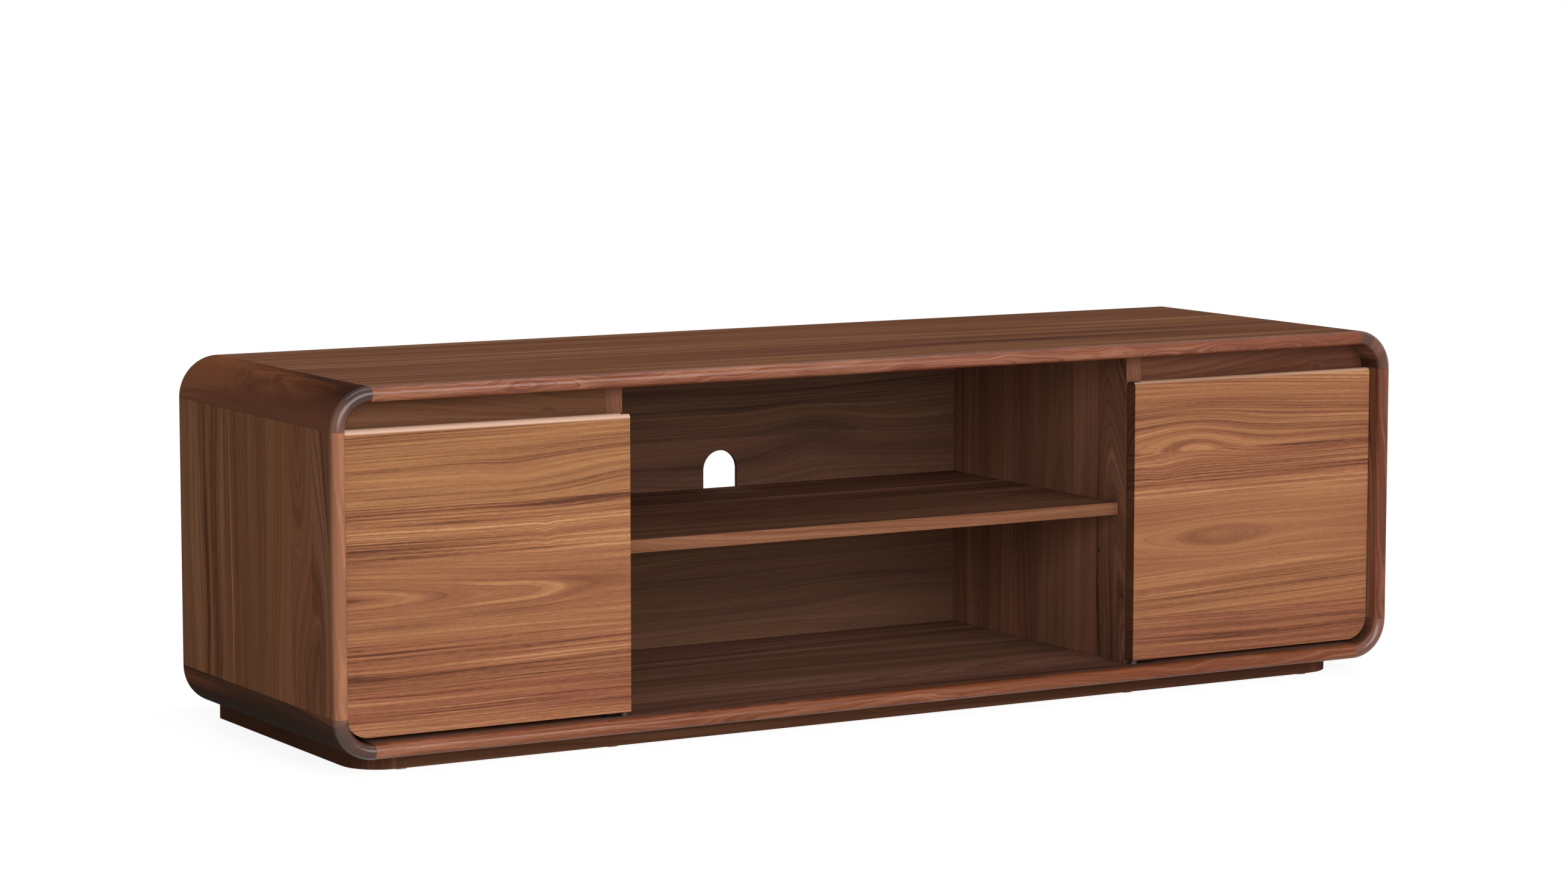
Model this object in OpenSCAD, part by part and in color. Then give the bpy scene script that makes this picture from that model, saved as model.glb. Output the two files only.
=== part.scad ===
// Walnut media cabinet: a case of solid boards with bent corners on a low plinth,
// an open centre bay with one shelf, and a pivot-hung door at each side.
//
// Frame: the origin is on the floor under the middle of the case, +X points to the
// right as seen from the front, +Y to the back and +Z up. The front nosing is at -Y.
// Everything is modelled for the right-hand side and mirrored for the left.

/* [Case] */
// Overall width
case_w = 1500; // [1400:10:1700]
// Overall depth
case_d = 450; // [400:5:520]
// Overall height, from the floor to the top face
case_h = 450; // [420:5:520]
// Thickness of the case boards
board_t = 18; // [16:1:22]
// Outer radius of the case corners
corner_r = 50; // [42:1:60]

/* [Plinth] */
// Height of the plinth, floor pads included
plinth_h = 22; // [18:1:30]
// Thickness of the plinth rails
plinth_t = 20; // [16:1:24]
// Distance from the side of the case to the plinth
plinth_side_inset = 47; // [30:1:80]
// Distance from the front of the case to the plinth
plinth_front_inset = 42; // [30:1:80]
// Outer radius of the plinth's front corners
plinth_corner_r = 48; // [36:1:70]
// Thickness of the felt pads under the plinth
pad_t = 1.5; // [1:0.5:3]
// Radius of the felt pads
pad_r = 8; // [6:0.5:8]

/* [Centre bay] */
// Clear width between the partitions
bay_w = 720; // [600:10:800]
// Thickness of the partitions
partition_t = 22; // [20:1:26]
// Thickness of the shelves
shelf_t = 16; // [14:1:20]
// How far the centre shelf stands back from the partitions' front edges
shelf_setback = 14; // [6:1:40]
// Gap between a shelf's end and the board beside it
shelf_end_gap = 1; // [0.5:0.5:2]
// Gap between a shelf and the back panel
shelf_rear_gap = 2; // [1:0.5:4]

/* [Doors] */
// Thickness of the doors
door_t = 18; // [17:1:22]
// How far the door faces stand back from the front of the case
door_setback = 20; // [16:1:30]
// Gap between a door's rear face and the partition's front edge
door_back_gap = 2; // [2:0.5:4]
// Gap between a door and the side board
door_side_gap = 2; // [1.5:0.5:4]
// Gap under the doors
door_bottom_gap = 5; // [3:0.5:8]
// Height of the finger gap between a door's top edge and the top board
finger_gap_h = 32; // [24:1:40]
// Radius of the round along the front of a door's top edge
door_round_r = 6; // [3:0.5:6]
// Width of the bevel along the back of a door's top edge
door_bevel = 8; // [4:0.5:8]

/* [Header rails] */
// Thickness of the rails behind the finger gaps
rail_t = 18; // [16:1:24]
// How far a door laps over its rail
rail_lap = 5; // [3:0.5:8]

/* [Inner shelves] */
// How far the inner shelves stand back from the rails' rear faces
inner_shelf_setback = 10; // [4:1:40]

/* [Shelf pins] */
// Radius of the pins
pin_r = 2.5; // [2:0.25:3]
// Length of a pin inside its hole
pin_in = 8.5; // [7:0.5:9]
// Length of a pin outside its hole
pin_out = 8; // [6:0.5:12]
// Distance from a shelf's front or rear edge to its pins
pin_inset = 45; // [30:1:80]
// Height between two rows of pin holes
pin_row_pitch = 59; // [32:1:70]
// How far a pin's axis lies above a shelf's underside
pin_rise = 7; // [5:0.5:9]

/* [Back] */
// Thickness of the back panel
back_t = 6; // [4:0.5:6]
// Width of the rebate that holds the back panel
rebate_w = 7; // [6:0.5:8]
// Depth of that rebate
rebate_d = 6; // [6:0.5:12]
// Width of the cable slot
slot_w = 50; // [30:1:70]
// Height of the cable slot
slot_h = 112; // [80:1:140]

/* [Pivot hinges] */
// Distance from a door's inner edge to the pivot axis
pivot_edge = 6; // [5.5:0.25:6.25]
// Distance from a door's front face to the pivot axis
pivot_face = 8; // [7.5:0.25:8.5]
// Radius of the hinge pins
pivot_r = 2.5; // [2:0.1:2.6]
// Radial running clearance of the pins in their bushes
pivot_clear = 0.05; // [0.02:0.01:0.1]
// Outer radius of the bushes
bush_r = 4; // [3.6:0.1:4.4]
// Length of the bushes
bush_len = 12; // [9:0.5:20]
// Thickness of the hinge plates
plate_t = 2.5; // [2:0.25:3]
// Gap between a bush and the hinge part that faces it
thrust_gap = 0.3; // [0.2:0.05:0.5]

/* [Magnetic catches] */
// Length of a catch housing
catch_l = 34; // [30:1:50]
// Width and height of a catch housing
catch_s = 12; // [10:0.5:14]
// Distance from the side board to the catch
catch_inset = 56; // [40:1:90]
// Thickness of the strike plates
strike_t = 1.2; // [0.8:0.1:1.4]

/* [Hidden] */
$fn = 64;

// Clearances of the fixed fits
glue_clear = 0.1;     // round dowels and splines in their holes
pin_clear = 0.05;     // shelf pins in their holes
back_clear = 0.3;     // back panel in its rebate
over = 1;             // how far a cutting shape runs past the face that it opens

// The case, its planes and its inside
front_y = -case_d / 2;
rear_y = case_d / 2;
nose_r = board_t / 2;
inner_x = case_w / 2 - board_t;
inner_z0 = plinth_h + board_t;
inner_z1 = case_h - board_t;
inner_r = corner_r - board_t;
flat_x = case_w / 2 - corner_r;
flat_z0 = plinth_h + corner_r;
flat_z1 = case_h - corner_r;
case_mid_z = (plinth_h + case_h) / 2;

// The back panel in its rebate
back_y = rear_y - rebate_d;
back_lap = rebate_w - back_clear;
back_x = inner_x + back_lap;

// The doors
door_y0 = front_y + door_setback;
door_y1 = door_y0 + door_t;
bay_x = bay_w / 2;
door_x1 = inner_x - door_side_gap;
door_z0 = inner_z0 + door_bottom_gap;
door_z1 = inner_z1 - finger_gap_h;
door_corner_r = inner_r - door_side_gap;
edge_r = 1.5;         // round on the doors' upright back corner at the pivot

// What stands behind the doors
carcase_y = door_y1 + door_back_gap;
partition_x1 = bay_x + partition_t;
partition_mid_x = bay_x + partition_t / 2;
rail_y1 = carcase_y + rail_t;
rail_z0 = door_z1 - rail_lap;

// Shelves, which lie half way up the inside, and their pins
shelf_z0 = case_mid_z - shelf_t / 2;
pin_z = shelf_z0 + pin_rise;
pin_rows = [pin_z - pin_row_pitch, pin_z, pin_z + pin_row_pitch];
pin_hole_depth = pin_in + 0.5;
pin_notch_w = 2 * pin_r + 1;
shelf_y0 = carcase_y + shelf_setback;
inner_shelf_y0 = rail_y1 + inner_shelf_setback;
shelf_y1 = back_y - shelf_rear_gap;
bay_pin_ys = [shelf_y0 + pin_inset, shelf_y1 - pin_inset];
inner_pin_ys = [inner_shelf_y0 + pin_inset, shelf_y1 - pin_inset];

// Dowels and splines
dowel_r = 4;
dowel_len = 30;
dowel_in_board = 12;
dowel_end_gap = 0.5;
dowel_inset = 40;
rail_dowel_len = 26;
spline_t = 4;
spline_w = 20;
spline_front_inset = 30;
spline_rear_inset = 15;
spline_y0 = front_y + spline_front_inset;
spline_len = back_y - spline_rear_inset - spline_y0;

// The plinth
plinth_x1 = case_w / 2 - plinth_side_inset;
plinth_y0 = front_y + plinth_front_inset;
plinth_inner_r = plinth_corner_r - plinth_t;
plinth_flat_x = plinth_x1 - plinth_corner_r;
plinth_flat_y = plinth_y0 + plinth_corner_r;
plinth_rail_h = plinth_h - pad_t;
plinth_rail_ys = [plinth_y0 + plinth_t / 2, rear_y - plinth_t / 2];
plinth_spline_w = 16;
plinth_spline_h = 6;

// Screws: head radius, shank radius, head height and overall length
// The plinth screws stop short of the splines in the bottom corners
plinth_screw_len = plinth_rail_h + (board_t - spline_t) / 2 - 1;
wood_screw = [4, 2, 2.4, plinth_screw_len];
small_screw = [2.8, 1.4, 1.6, 14];
back_screw = [2.9, 1.4, 1.4, 16];
strike_screw = [2.4, 1.2, 1.0, 11];
catch_screw = [2.4, 1.2, 1.2, 22];
screw_clear = 0.05;

// The pivot hinges
pivot_x = bay_x + pivot_edge;
pivot_y = door_y0 + pivot_face;
ear_r = pivot_r + 1.5;
pin_head_r = pivot_r + 1;
pin_head_h = 1.2;
ear_play = 0.8;                              // room round the ear in the door's notch
ear_z1 = door_z1 - 2;
ear_z0 = ear_z1 - plate_t;
notch_z0 = ear_z0 - thrust_gap;
pin_end_gap = 1;                             // from a pin's tip to the end of its bush
flange_w = ear_r + 10;
flange_h = 40;
collar_h = door_bottom_gap - thrust_gap;
collar_r = pivot_r + 2;
pivot_plate_l = 36;
pivot_plate_w = 17;
pivot_plate_play = 0.1;
pivot_plate_x0 = pivot_x - 5;
pivot_plate_y0 = pivot_y - 5;
flange_screw_zs = [ear_z1 - flange_h + 9, ear_z1 - 15];
pivot_screw_xs = [pivot_plate_x0 + 17, pivot_plate_x0 + 29];

// The magnetic catches
catch_gap = 0.3;
catch_x0 = inner_x - catch_inset - catch_l;
catch_mid_x = catch_x0 + catch_l / 2;
catch_y0 = door_y1 + strike_t + catch_gap;
catch_z0 = rail_z0 - catch_s;
magnet_l = 18;
magnet_s = 7;
magnet_depth = 8;
catch_screw_xs = [catch_x0 + 4, catch_x0 + catch_l - 4];
strike_h = 10;
strike_l = 28;
strike_z0 = catch_z0 - 1;
strike_mid_z = strike_z0 + strike_h / 2;

// Colours
walnut = "#6a4734";
walnut_side = "#54382a";
walnut_corner = "#4a2f22";
walnut_door = "#85583a";
walnut_inside = "#5a3c2c";
walnut_plinth = "#3f2a20";
beech = "#c9a679";
brass = "#7a6238";
steel = "#9a9a98";
black = "#2b2b2b";
felt = "#4d4a46";

// ---- Shared shapes --------------------------------------------------------------

// n values from a to b, evenly spaced
function spread(n, a, b) = [for (i = [0:n - 1]) a + (b - a) * i / (n - 1)];

// What follows, and its mirror image in the YZ plane
module both_sides() {
    children();
    mirror([1, 0, 0]) children();
}

// The mirror image in the case's own middle height
module upside_down() {
    translate([0, 0, 2 * case_mid_z]) mirror([0, 0, 1]) children();
}

// A flat outline in X and Z, given thickness t towards the back from y0
module xz_plate(y0, t) {
    translate([0, y0 + t, 0]) rotate([90, 0, 0]) linear_extrude(t) children();
}

// A rectangle from x0 to x1 and from z0 to z1 with four round corners
module round_rect(x0, x1, z0, z1, r) {
    translate([x0 + r, z0]) square([x1 - x0 - 2 * r, z1 - z0]);
    translate([x0, z0 + r]) square([x1 - x0, z1 - z0 - 2 * r]);
    for (x = [x0 + r, x1 - r], z = [z0 + r, z1 - r])
        translate([x, z]) circle(r);
}

// The inside of the case, seen from the front
module inside_outline() {
    round_rect(-inner_x, inner_x, inner_z0, inner_z1, inner_r);
}

// Section of a case board: x runs from its inner to its outer face, y from front to
// back. The front is a full half-round nosing, and the rear inner edge is rebated.
module board_section() {
    difference() {
        union() {
            translate([0, front_y + nose_r]) square([board_t, case_d - nose_r]);
            translate([nose_r, front_y + nose_r]) circle(nose_r);
        }
        translate([-over, back_y]) square([rebate_w + over, rebate_d + over]);
    }
}

// A countersunk screw, head at the origin and pointing up, grown by g for its hole.
// The hole starts g below the head, so its cone is wider and longer by as much again.
module screw(s, g = 0) {
    cylinder(r1 = s[0] + 2 * g, r2 = s[1] + g, h = s[2] + g);
    cylinder(r = s[1] + g, h = s[3] + 2 * g);
}

// ---- Places of the fastenings ----------------------------------------------------

// Splines at the two ends of one quarter corner, grown by g for their grooves
module spline_pair(g = 0) {
    for (a = [0, 90])
        translate([flat_x, spline_y0 - g, flat_z1])
            rotate([0, -a, 0])
                translate([inner_r + nose_r - spline_t / 2 - g, 0, -spline_w / 2 - g])
                    cube([spline_t + 2 * g, spline_len + 2 * g, spline_w + 2 * g]);
}

module all_splines(g = 0) {
    both_sides() {
        spline_pair(g);
        upside_down() spline_pair(g);
    }
}

// Upright dowels between the right partition and the boards above and below it
module right_partition_dowels(g = 0) {
    for (y = spread(4, carcase_y + dowel_inset, back_y - dowel_inset))
        translate([partition_mid_x, y, 0])
            for (z = [inner_z0 - dowel_in_board, inner_z1 + dowel_in_board - dowel_len])
                translate([0, 0, z - (g > 0 ? dowel_end_gap : 0)])
                    cylinder(r = dowel_r + g, h = dowel_len + (g > 0 ? 2 * dowel_end_gap : 0));
}

// Upright dowels between the right header rail and the top board
module right_rail_dowels(g = 0) {
    for (x = spread(3, partition_x1 + dowel_inset, flat_x - dowel_inset))
        translate([x, (carcase_y + rail_y1) / 2,
                   inner_z1 + dowel_in_board - rail_dowel_len - (g > 0 ? dowel_end_gap : 0)])
            cylinder(r = dowel_r + g, h = rail_dowel_len + (g > 0 ? 2 * dowel_end_gap : 0));
}

// Shelf pin holes that open at the plane x, towards +X (way = 1) or -X (way = -1)
module pin_holes(x, way, ys, zs = pin_rows) {
    for (y = ys, z = zs)
        translate([x + way * over, y, z])
            rotate([0, -way * 90, 0])
                cylinder(r = pin_r + pin_clear, h = pin_hole_depth + over);
}

// Shelf pins that stand out of the plane x
module shelf_pins(x, way, ys) {
    for (y = ys)
        translate([x + way * pin_out, y, pin_z])
            rotate([0, -way * 90, 0])
                cylinder(r = pin_r, h = pin_out + pin_in);
}

// Screws up through the plinth into the bottom board
module plinth_screw_set(g = 0) {
    half = plinth_flat_x - 2 * dowel_inset;
    for (x = spread(4, -half, half), y = plinth_rail_ys)
        translate([x, y, pad_t - g]) screw(wood_screw, g);
    for (y = spread(2, plinth_flat_y + dowel_inset, rear_y - plinth_t - dowel_inset)) {
        both_sides() {
            translate([plinth_x1 - plinth_t / 2, y, pad_t - g]) screw(wood_screw, g);
            translate([partition_mid_x, y, pad_t - g]) screw(wood_screw, g);
        }
    }
}

// Screws through the back panel, four along each edge and two up each partition
module back_screw_set(g = 0) {
    rim = rebate_w / 2;
    module at(x, z)
        translate([x, back_y + back_t + g, z]) rotate([90, 0, 0]) screw(back_screw, g);
    for (x = spread(4, -flat_x + dowel_inset, flat_x - dowel_inset),
         z = [inner_z0 - rim, inner_z1 + rim])
        at(x, z);
    for (z = spread(2, flat_z0 + dowel_inset, flat_z1 - dowel_inset),
         x = [-inner_x - rim, -partition_mid_x, partition_mid_x, inner_x + rim])
        at(x, z);
}

// Screws of the right-hand hinge parts
module right_hinge_screws(g = 0) {
    for (z = flange_screw_zs)
        translate([pivot_x + ear_r + 3, carcase_y - g, z]) rotate([-90, 0, 0]) screw(small_screw, g);
    for (x = pivot_screw_xs)
        translate([x, pivot_plate_y0 + pivot_plate_w / 2, inner_z0 + g])
            rotate([180, 0, 0]) screw(small_screw, g);
}

// Screws up through the right catch housing into the header rail
module right_catch_screws(g = 0) {
    for (x = catch_screw_xs)
        translate([x, catch_y0 + catch_s / 2, catch_z0 - g]) screw(catch_screw, g);
}

// The right strike plate's screw, into the door's back
module right_strike_screw_shape(g = 0) {
    translate([catch_mid_x, door_y1 + strike_t + g, strike_mid_z])
        rotate([90, 0, 0]) screw(strike_screw, g);
}

// ---- The case --------------------------------------------------------------------

module top_panel() {
    color(walnut) difference() {
        translate([0, 0, inner_z1])
            rotate([0, -90, 0])
                linear_extrude(2 * flat_x, center = true) board_section();
        all_splines(glue_clear);
        both_sides() {
            right_partition_dowels(glue_clear);
            right_rail_dowels(glue_clear);
        }
        back_screw_set(screw_clear);
    }
}

module bottom_panel() {
    color(walnut) difference() {
        upside_down()
            translate([0, 0, inner_z1])
                rotate([0, -90, 0])
                    linear_extrude(2 * flat_x, center = true) board_section();
        all_splines(glue_clear);
        both_sides() {
            right_partition_dowels(glue_clear);
            right_hinge_screws(screw_clear);
            right_pivot_mortise();
        }
        back_screw_set(screw_clear);
        plinth_screw_set(screw_clear);
    }
}

module side_panel() {
    difference() {
        translate([inner_x, 0, flat_z0]) linear_extrude(flat_z1 - flat_z0) board_section();
        all_splines(glue_clear);
        pin_holes(inner_x, -1, inner_pin_ys);
        back_screw_set(screw_clear);
    }
}

module right_side_panel() {
    color(walnut_side) side_panel();
}

module left_side_panel() {
    color(walnut_side) mirror([1, 0, 0]) side_panel();
}

// One quarter corner: the board section turned through 90 degrees
module case_corner() {
    difference() {
        translate([flat_x, 0, flat_z1])
            rotate([90, 0, 0])
                rotate_extrude(angle = 90)
                    mirror([0, 1]) translate([inner_r, 0]) board_section();
        spline_pair(glue_clear);
    }
}

module top_right_corner() {
    color(walnut_corner) case_corner();
}

module top_left_corner() {
    color(walnut_corner) mirror([1, 0, 0]) case_corner();
}

module bottom_right_corner() {
    color(walnut_corner) upside_down() case_corner();
}

module bottom_left_corner() {
    color(walnut_corner) mirror([1, 0, 0]) upside_down() case_corner();
}

module corner_splines() {
    color(beech) all_splines();
}

// ---- The inside ------------------------------------------------------------------

module partition() {
    difference() {
        translate([bay_x, carcase_y, inner_z0])
            cube([partition_t, back_y - carcase_y, inner_z1 - inner_z0]);
        right_partition_dowels(glue_clear);
        pin_holes(bay_x, -1, bay_pin_ys);
        pin_holes(partition_x1, 1, inner_pin_ys);
        back_screw_set(screw_clear);
        right_hinge_screws(screw_clear);
        right_flange_mortise();
    }
}

module right_partition() {
    color(walnut_inside) partition();
}

module left_partition() {
    color(walnut_inside) mirror([1, 0, 0]) partition();
}

module partition_dowels() {
    color(beech) both_sides() right_partition_dowels();
}

// A rail across the top of a side compartment, behind the finger gap
module header_rail() {
    difference() {
        xz_plate(carcase_y, rail_t)
            intersection() {
                inside_outline();
                translate([partition_x1, rail_z0]) square([inner_x - partition_x1, inner_z1 - rail_z0]);
            }
        right_rail_dowels(glue_clear);
        right_catch_screws(screw_clear);
    }
}

module right_header_rail() {
    color(walnut_inside) header_rail();
}

module left_header_rail() {
    color(walnut_inside) mirror([1, 0, 0]) header_rail();
}

module rail_dowels() {
    color(beech) both_sides() right_rail_dowels();
}

// A shelf from x0 to x1 with a notch under each end over every pin
module shelf(x0, x1, y0, pin_ys) {
    notch_l = pin_out + over;
    difference() {
        translate([x0, y0, shelf_z0]) cube([x1 - x0, shelf_y1 - y0, shelf_t]);
        for (x = [x0 - over, x1 - notch_l], y = pin_ys)
            translate([x, y - pin_notch_w / 2, shelf_z0 - over])
                cube([notch_l + over, pin_notch_w, pin_rise + pin_r + over]);
    }
}

module centre_shelf() {
    color(walnut) shelf(-bay_x + shelf_end_gap, bay_x - shelf_end_gap, shelf_y0, bay_pin_ys);
}

module centre_shelf_pins() {
    color(steel) both_sides() shelf_pins(bay_x, -1, bay_pin_ys);
}

module inner_shelf() {
    shelf(partition_x1 + shelf_end_gap, inner_x - shelf_end_gap, inner_shelf_y0, inner_pin_ys);
}

module right_inner_shelf() {
    color(walnut_inside) inner_shelf();
}

module left_inner_shelf() {
    color(walnut_inside) mirror([1, 0, 0]) inner_shelf();
}

module inner_shelf_pins() {
    color(steel) both_sides() {
        shelf_pins(partition_x1, 1, inner_pin_ys);
        shelf_pins(inner_x, -1, inner_pin_ys);
    }
}

// The back panel, with an upright cable slot that the shelf crosses half way
module back_panel() {
    color(walnut_inside) difference() {
        xz_plate(back_y, back_t) difference() {
            round_rect(-back_x, back_x, inner_z0 - back_lap, inner_z1 + back_lap,
                       inner_r + back_lap);
            round_rect(-slot_w / 2, slot_w / 2,
                       case_mid_z - slot_h / 2, case_mid_z + slot_h / 2, slot_w / 2 - 0.001);
        }
        back_screw_set(screw_clear);
    }
}

module back_panel_screws() {
    color(steel) back_screw_set();
}

// ---- The plinth ------------------------------------------------------------------

// An upright wall of the plinth's own height, from (x0, y0) with the size (w, d)
module plinth_bar(x0, y0, w, d) {
    translate([x0, y0, pad_t]) cube([w, d, plinth_rail_h]);
}

// Splines at both ends of the plinth's right front corner
module plinth_corner_splines(g = 0) {
    mid_r = plinth_inner_r + plinth_t / 2;
    for (a = [0, 90])
        translate([plinth_flat_x, plinth_flat_y, pad_t + (plinth_rail_h - plinth_spline_h) / 2])
            rotate([0, 0, -a])
                translate([mid_r - spline_t / 2 - g, -plinth_spline_w / 2 - g, -g])
                    cube([spline_t + 2 * g, plinth_spline_w + 2 * g, plinth_spline_h + 2 * g]);
}

module plinth_front_rail() {
    color(walnut_plinth) difference() {
        plinth_bar(-plinth_flat_x, plinth_y0, 2 * plinth_flat_x, plinth_t);
        plinth_screw_set(screw_clear);
        both_sides() plinth_corner_splines(glue_clear);
    }
}

module plinth_rear_rail() {
    color(walnut_plinth) difference() {
        plinth_bar(-plinth_x1 + plinth_t, rear_y - plinth_t, 2 * (plinth_x1 - plinth_t), plinth_t);
        plinth_screw_set(screw_clear);
    }
}

module plinth_side_rail() {
    difference() {
        plinth_bar(plinth_x1 - plinth_t, plinth_flat_y, plinth_t, rear_y - plinth_flat_y);
        plinth_screw_set(screw_clear);
        plinth_corner_splines(glue_clear);
    }
}

module plinth_right_rail() {
    color(walnut_plinth) plinth_side_rail();
}

module plinth_left_rail() {
    color(walnut_plinth) mirror([1, 0, 0]) plinth_side_rail();
}

module plinth_corner() {
    difference() {
        translate([plinth_flat_x, plinth_flat_y, pad_t])
            rotate([0, 0, -90])
                rotate_extrude(angle = 90)
                    translate([plinth_inner_r, 0]) square([plinth_t, plinth_rail_h]);
        plinth_corner_splines(glue_clear);
    }
}

module plinth_right_corner() {
    color(walnut_plinth) plinth_corner();
}

module plinth_left_corner() {
    color(walnut_plinth) mirror([1, 0, 0]) plinth_corner();
}

module plinth_cross_rails() {
    color(walnut_plinth) both_sides() difference() {
        plinth_bar(partition_mid_x - plinth_t / 2, plinth_y0 + plinth_t,
                   plinth_t, rear_y - plinth_y0 - 2 * plinth_t);
        plinth_screw_set(screw_clear);
    }
}

module plinth_splines() {
    color(beech) both_sides() plinth_corner_splines();
}

module plinth_screws() {
    color(steel) plinth_screw_set();
}

module floor_pads() {
    color(felt) both_sides()
        for (x = [partition_mid_x, plinth_flat_x - pad_r], y = plinth_rail_ys)
            translate([x, y, 0]) cylinder(r = pad_r, h = pad_t);
}

// ---- The doors -------------------------------------------------------------------

// A door's section, x up and y to the back: rounded front top edge, bevelled back one
module door_section() {
    difference() {
        union() {
            translate([door_z0, door_y0]) square([door_z1 - door_z0 - door_round_r, door_t]);
            translate([door_z0, door_y0 + door_round_r])
                square([door_z1 - door_z0, door_t - door_round_r]);
            translate([door_z1 - door_round_r, door_y0 + door_round_r]) circle(door_round_r);
        }
        polygon([[door_z1 - door_bevel - over, door_y1 + over],
                 [door_z1 + over, door_y1 - door_bevel - over],
                 [door_z1 + over, door_y1 + over]]);
    }
}

// A door's face: the bottom outer corner follows the case's corner
module door_face() {
    translate([bay_x, door_z0 + door_corner_r])
        square([door_x1 - bay_x, door_z1 - door_z0 - door_corner_r]);
    translate([bay_x, door_z0]) square([door_x1 - bay_x - door_corner_r, door_corner_r + over]);
    translate([door_x1 - door_corner_r, door_z0 + door_corner_r]) circle(door_corner_r);
}

// Rounds a door's upright back corner beside the partition
module door_back_corner() {
    translate([bay_x, door_y1, door_z0 - over])
        difference() {
            translate([-over, -edge_r, 0])
                cube([edge_r + over, edge_r + over, door_z1 - door_z0 + 2 * over]);
            translate([edge_r, -edge_r, -over])
                cylinder(r = edge_r, h = door_z1 - door_z0 + 4 * over);
        }
}

module door() {
    difference() {
        intersection() {
            xz_plate(door_y0, door_t) door_face();
            translate([bay_x, 0, 0])
                rotate([0, -90, 0])
                    translate([0, 0, -(door_x1 - bay_x)])
                        linear_extrude(door_x1 - bay_x) door_section();
        }
        door_back_corner();
        // notch for the hinge ear, wide enough for its swing
        translate([bay_x - over, pivot_y - ear_r - ear_play, notch_z0])
            cube([pivot_edge + ear_r + ear_play + over, door_t, door_z1 - notch_z0 + over]);
        // holes for the bushes
        translate([pivot_x, pivot_y, door_z0 - over])
            cylinder(r = bush_r, h = bush_len + over);
        translate([pivot_x, pivot_y, notch_z0 - bush_len])
            cylinder(r = bush_r, h = bush_len + over);
        right_strike_screw_shape(screw_clear);
    }
}

module right_door() {
    color(walnut_door) door();
}

module left_door() {
    color(walnut_door) mirror([1, 0, 0]) door();
}

// ---- The pivot hinges ------------------------------------------------------------

// Room for the bracket's flange in the partition's front edge
module right_flange_mortise() {
    translate([pivot_x - ear_r - pivot_plate_play, carcase_y - over,
               ear_z1 - flange_h - pivot_plate_play])
        cube([flange_w + 2 * pivot_plate_play, plate_t + over, flange_h + 2 * pivot_plate_play]);
}

// Room for the pivot plate in the bottom board's top face
module right_pivot_mortise() {
    translate([pivot_plate_x0 - pivot_plate_play, pivot_plate_y0 - pivot_plate_play,
               inner_z0 - plate_t])
        cube([pivot_plate_l + 2 * pivot_plate_play, pivot_plate_w + 2 * pivot_plate_play,
              plate_t + over]);
}

// Angle bracket: the flange is let into the partition, the ear reaches over the door
module top_hinge_bracket() {
    ear_y1 = carcase_y + plate_t;
    difference() {
        union() {
            translate([pivot_x - ear_r, carcase_y, ear_z1 - flange_h])
                cube([flange_w, plate_t, flange_h]);
            translate([pivot_x - ear_r, pivot_y, ear_z0])
                cube([2 * ear_r, ear_y1 - pivot_y, plate_t]);
            translate([pivot_x, pivot_y, ear_z0]) cylinder(r = ear_r, h = plate_t);
        }
        translate([pivot_x, pivot_y, ear_z0 - over])
            cylinder(r = pivot_r + pivot_clear, h = plate_t + 2 * over);
        right_hinge_screws(screw_clear);
    }
}

module right_top_hinge_bracket() {
    color(brass) top_hinge_bracket();
}

module left_top_hinge_bracket() {
    color(brass) mirror([1, 0, 0]) top_hinge_bracket();
}

// Headed pin that drops through the ear into the door's upper bush
module top_hinge_pin() {
    tip_z = notch_z0 - bush_len + pin_end_gap;
    translate([pivot_x, pivot_y, tip_z]) cylinder(r = pivot_r, h = ear_z1 - tip_z);
    translate([pivot_x, pivot_y, ear_z1]) cylinder(r = pin_head_r, h = pin_head_h);
}

module right_top_hinge_pin() {
    color(brass) top_hinge_pin();
}

module left_top_hinge_pin() {
    color(brass) mirror([1, 0, 0]) top_hinge_pin();
}

// Plate let into the bottom board, with a collared pin for the door's lower bush
module bottom_pivot() {
    difference() {
        translate([pivot_plate_x0, pivot_plate_y0, inner_z0 - plate_t])
            cube([pivot_plate_l, pivot_plate_w, plate_t]);
        right_hinge_screws(screw_clear);
    }
    translate([pivot_x, pivot_y, inner_z0 - plate_t])
        cylinder(r = collar_r, h = plate_t + collar_h);
    translate([pivot_x, pivot_y, inner_z0 - plate_t])
        cylinder(r = pivot_r, h = plate_t + door_bottom_gap + bush_len - pin_end_gap);
}

module right_bottom_pivot() {
    color(brass) bottom_pivot();
}

module left_bottom_pivot() {
    color(brass) mirror([1, 0, 0]) bottom_pivot();
}

// Two bushes pressed into the door, in line with each other
module hinge_bushes() {
    for (z = [door_z0, notch_z0 - bush_len])
        translate([pivot_x, pivot_y, z]) difference() {
            cylinder(r = bush_r, h = bush_len);
            translate([0, 0, -over]) cylinder(r = pivot_r + pivot_clear, h = bush_len + 2 * over);
        }
}

module right_hinge_bushes() {
    color(brass) hinge_bushes();
}

module left_hinge_bushes() {
    color(brass) mirror([1, 0, 0]) hinge_bushes();
}

module hinge_screws() {
    color(brass) both_sides() right_hinge_screws();
}

// ---- The magnetic catches ----------------------------------------------------------

module catch_housing() {
    difference() {
        translate([catch_x0, catch_y0, catch_z0]) cube([catch_l, catch_s, catch_s]);
        translate([catch_mid_x - magnet_l / 2, catch_y0 - over, catch_z0 + (catch_s - magnet_s) / 2])
            cube([magnet_l, magnet_depth + over, magnet_s]);
        right_catch_screws(screw_clear);
    }
}

module right_catch_housing() {
    color(black) catch_housing();
}

module left_catch_housing() {
    color(black) mirror([1, 0, 0]) catch_housing();
}

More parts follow.
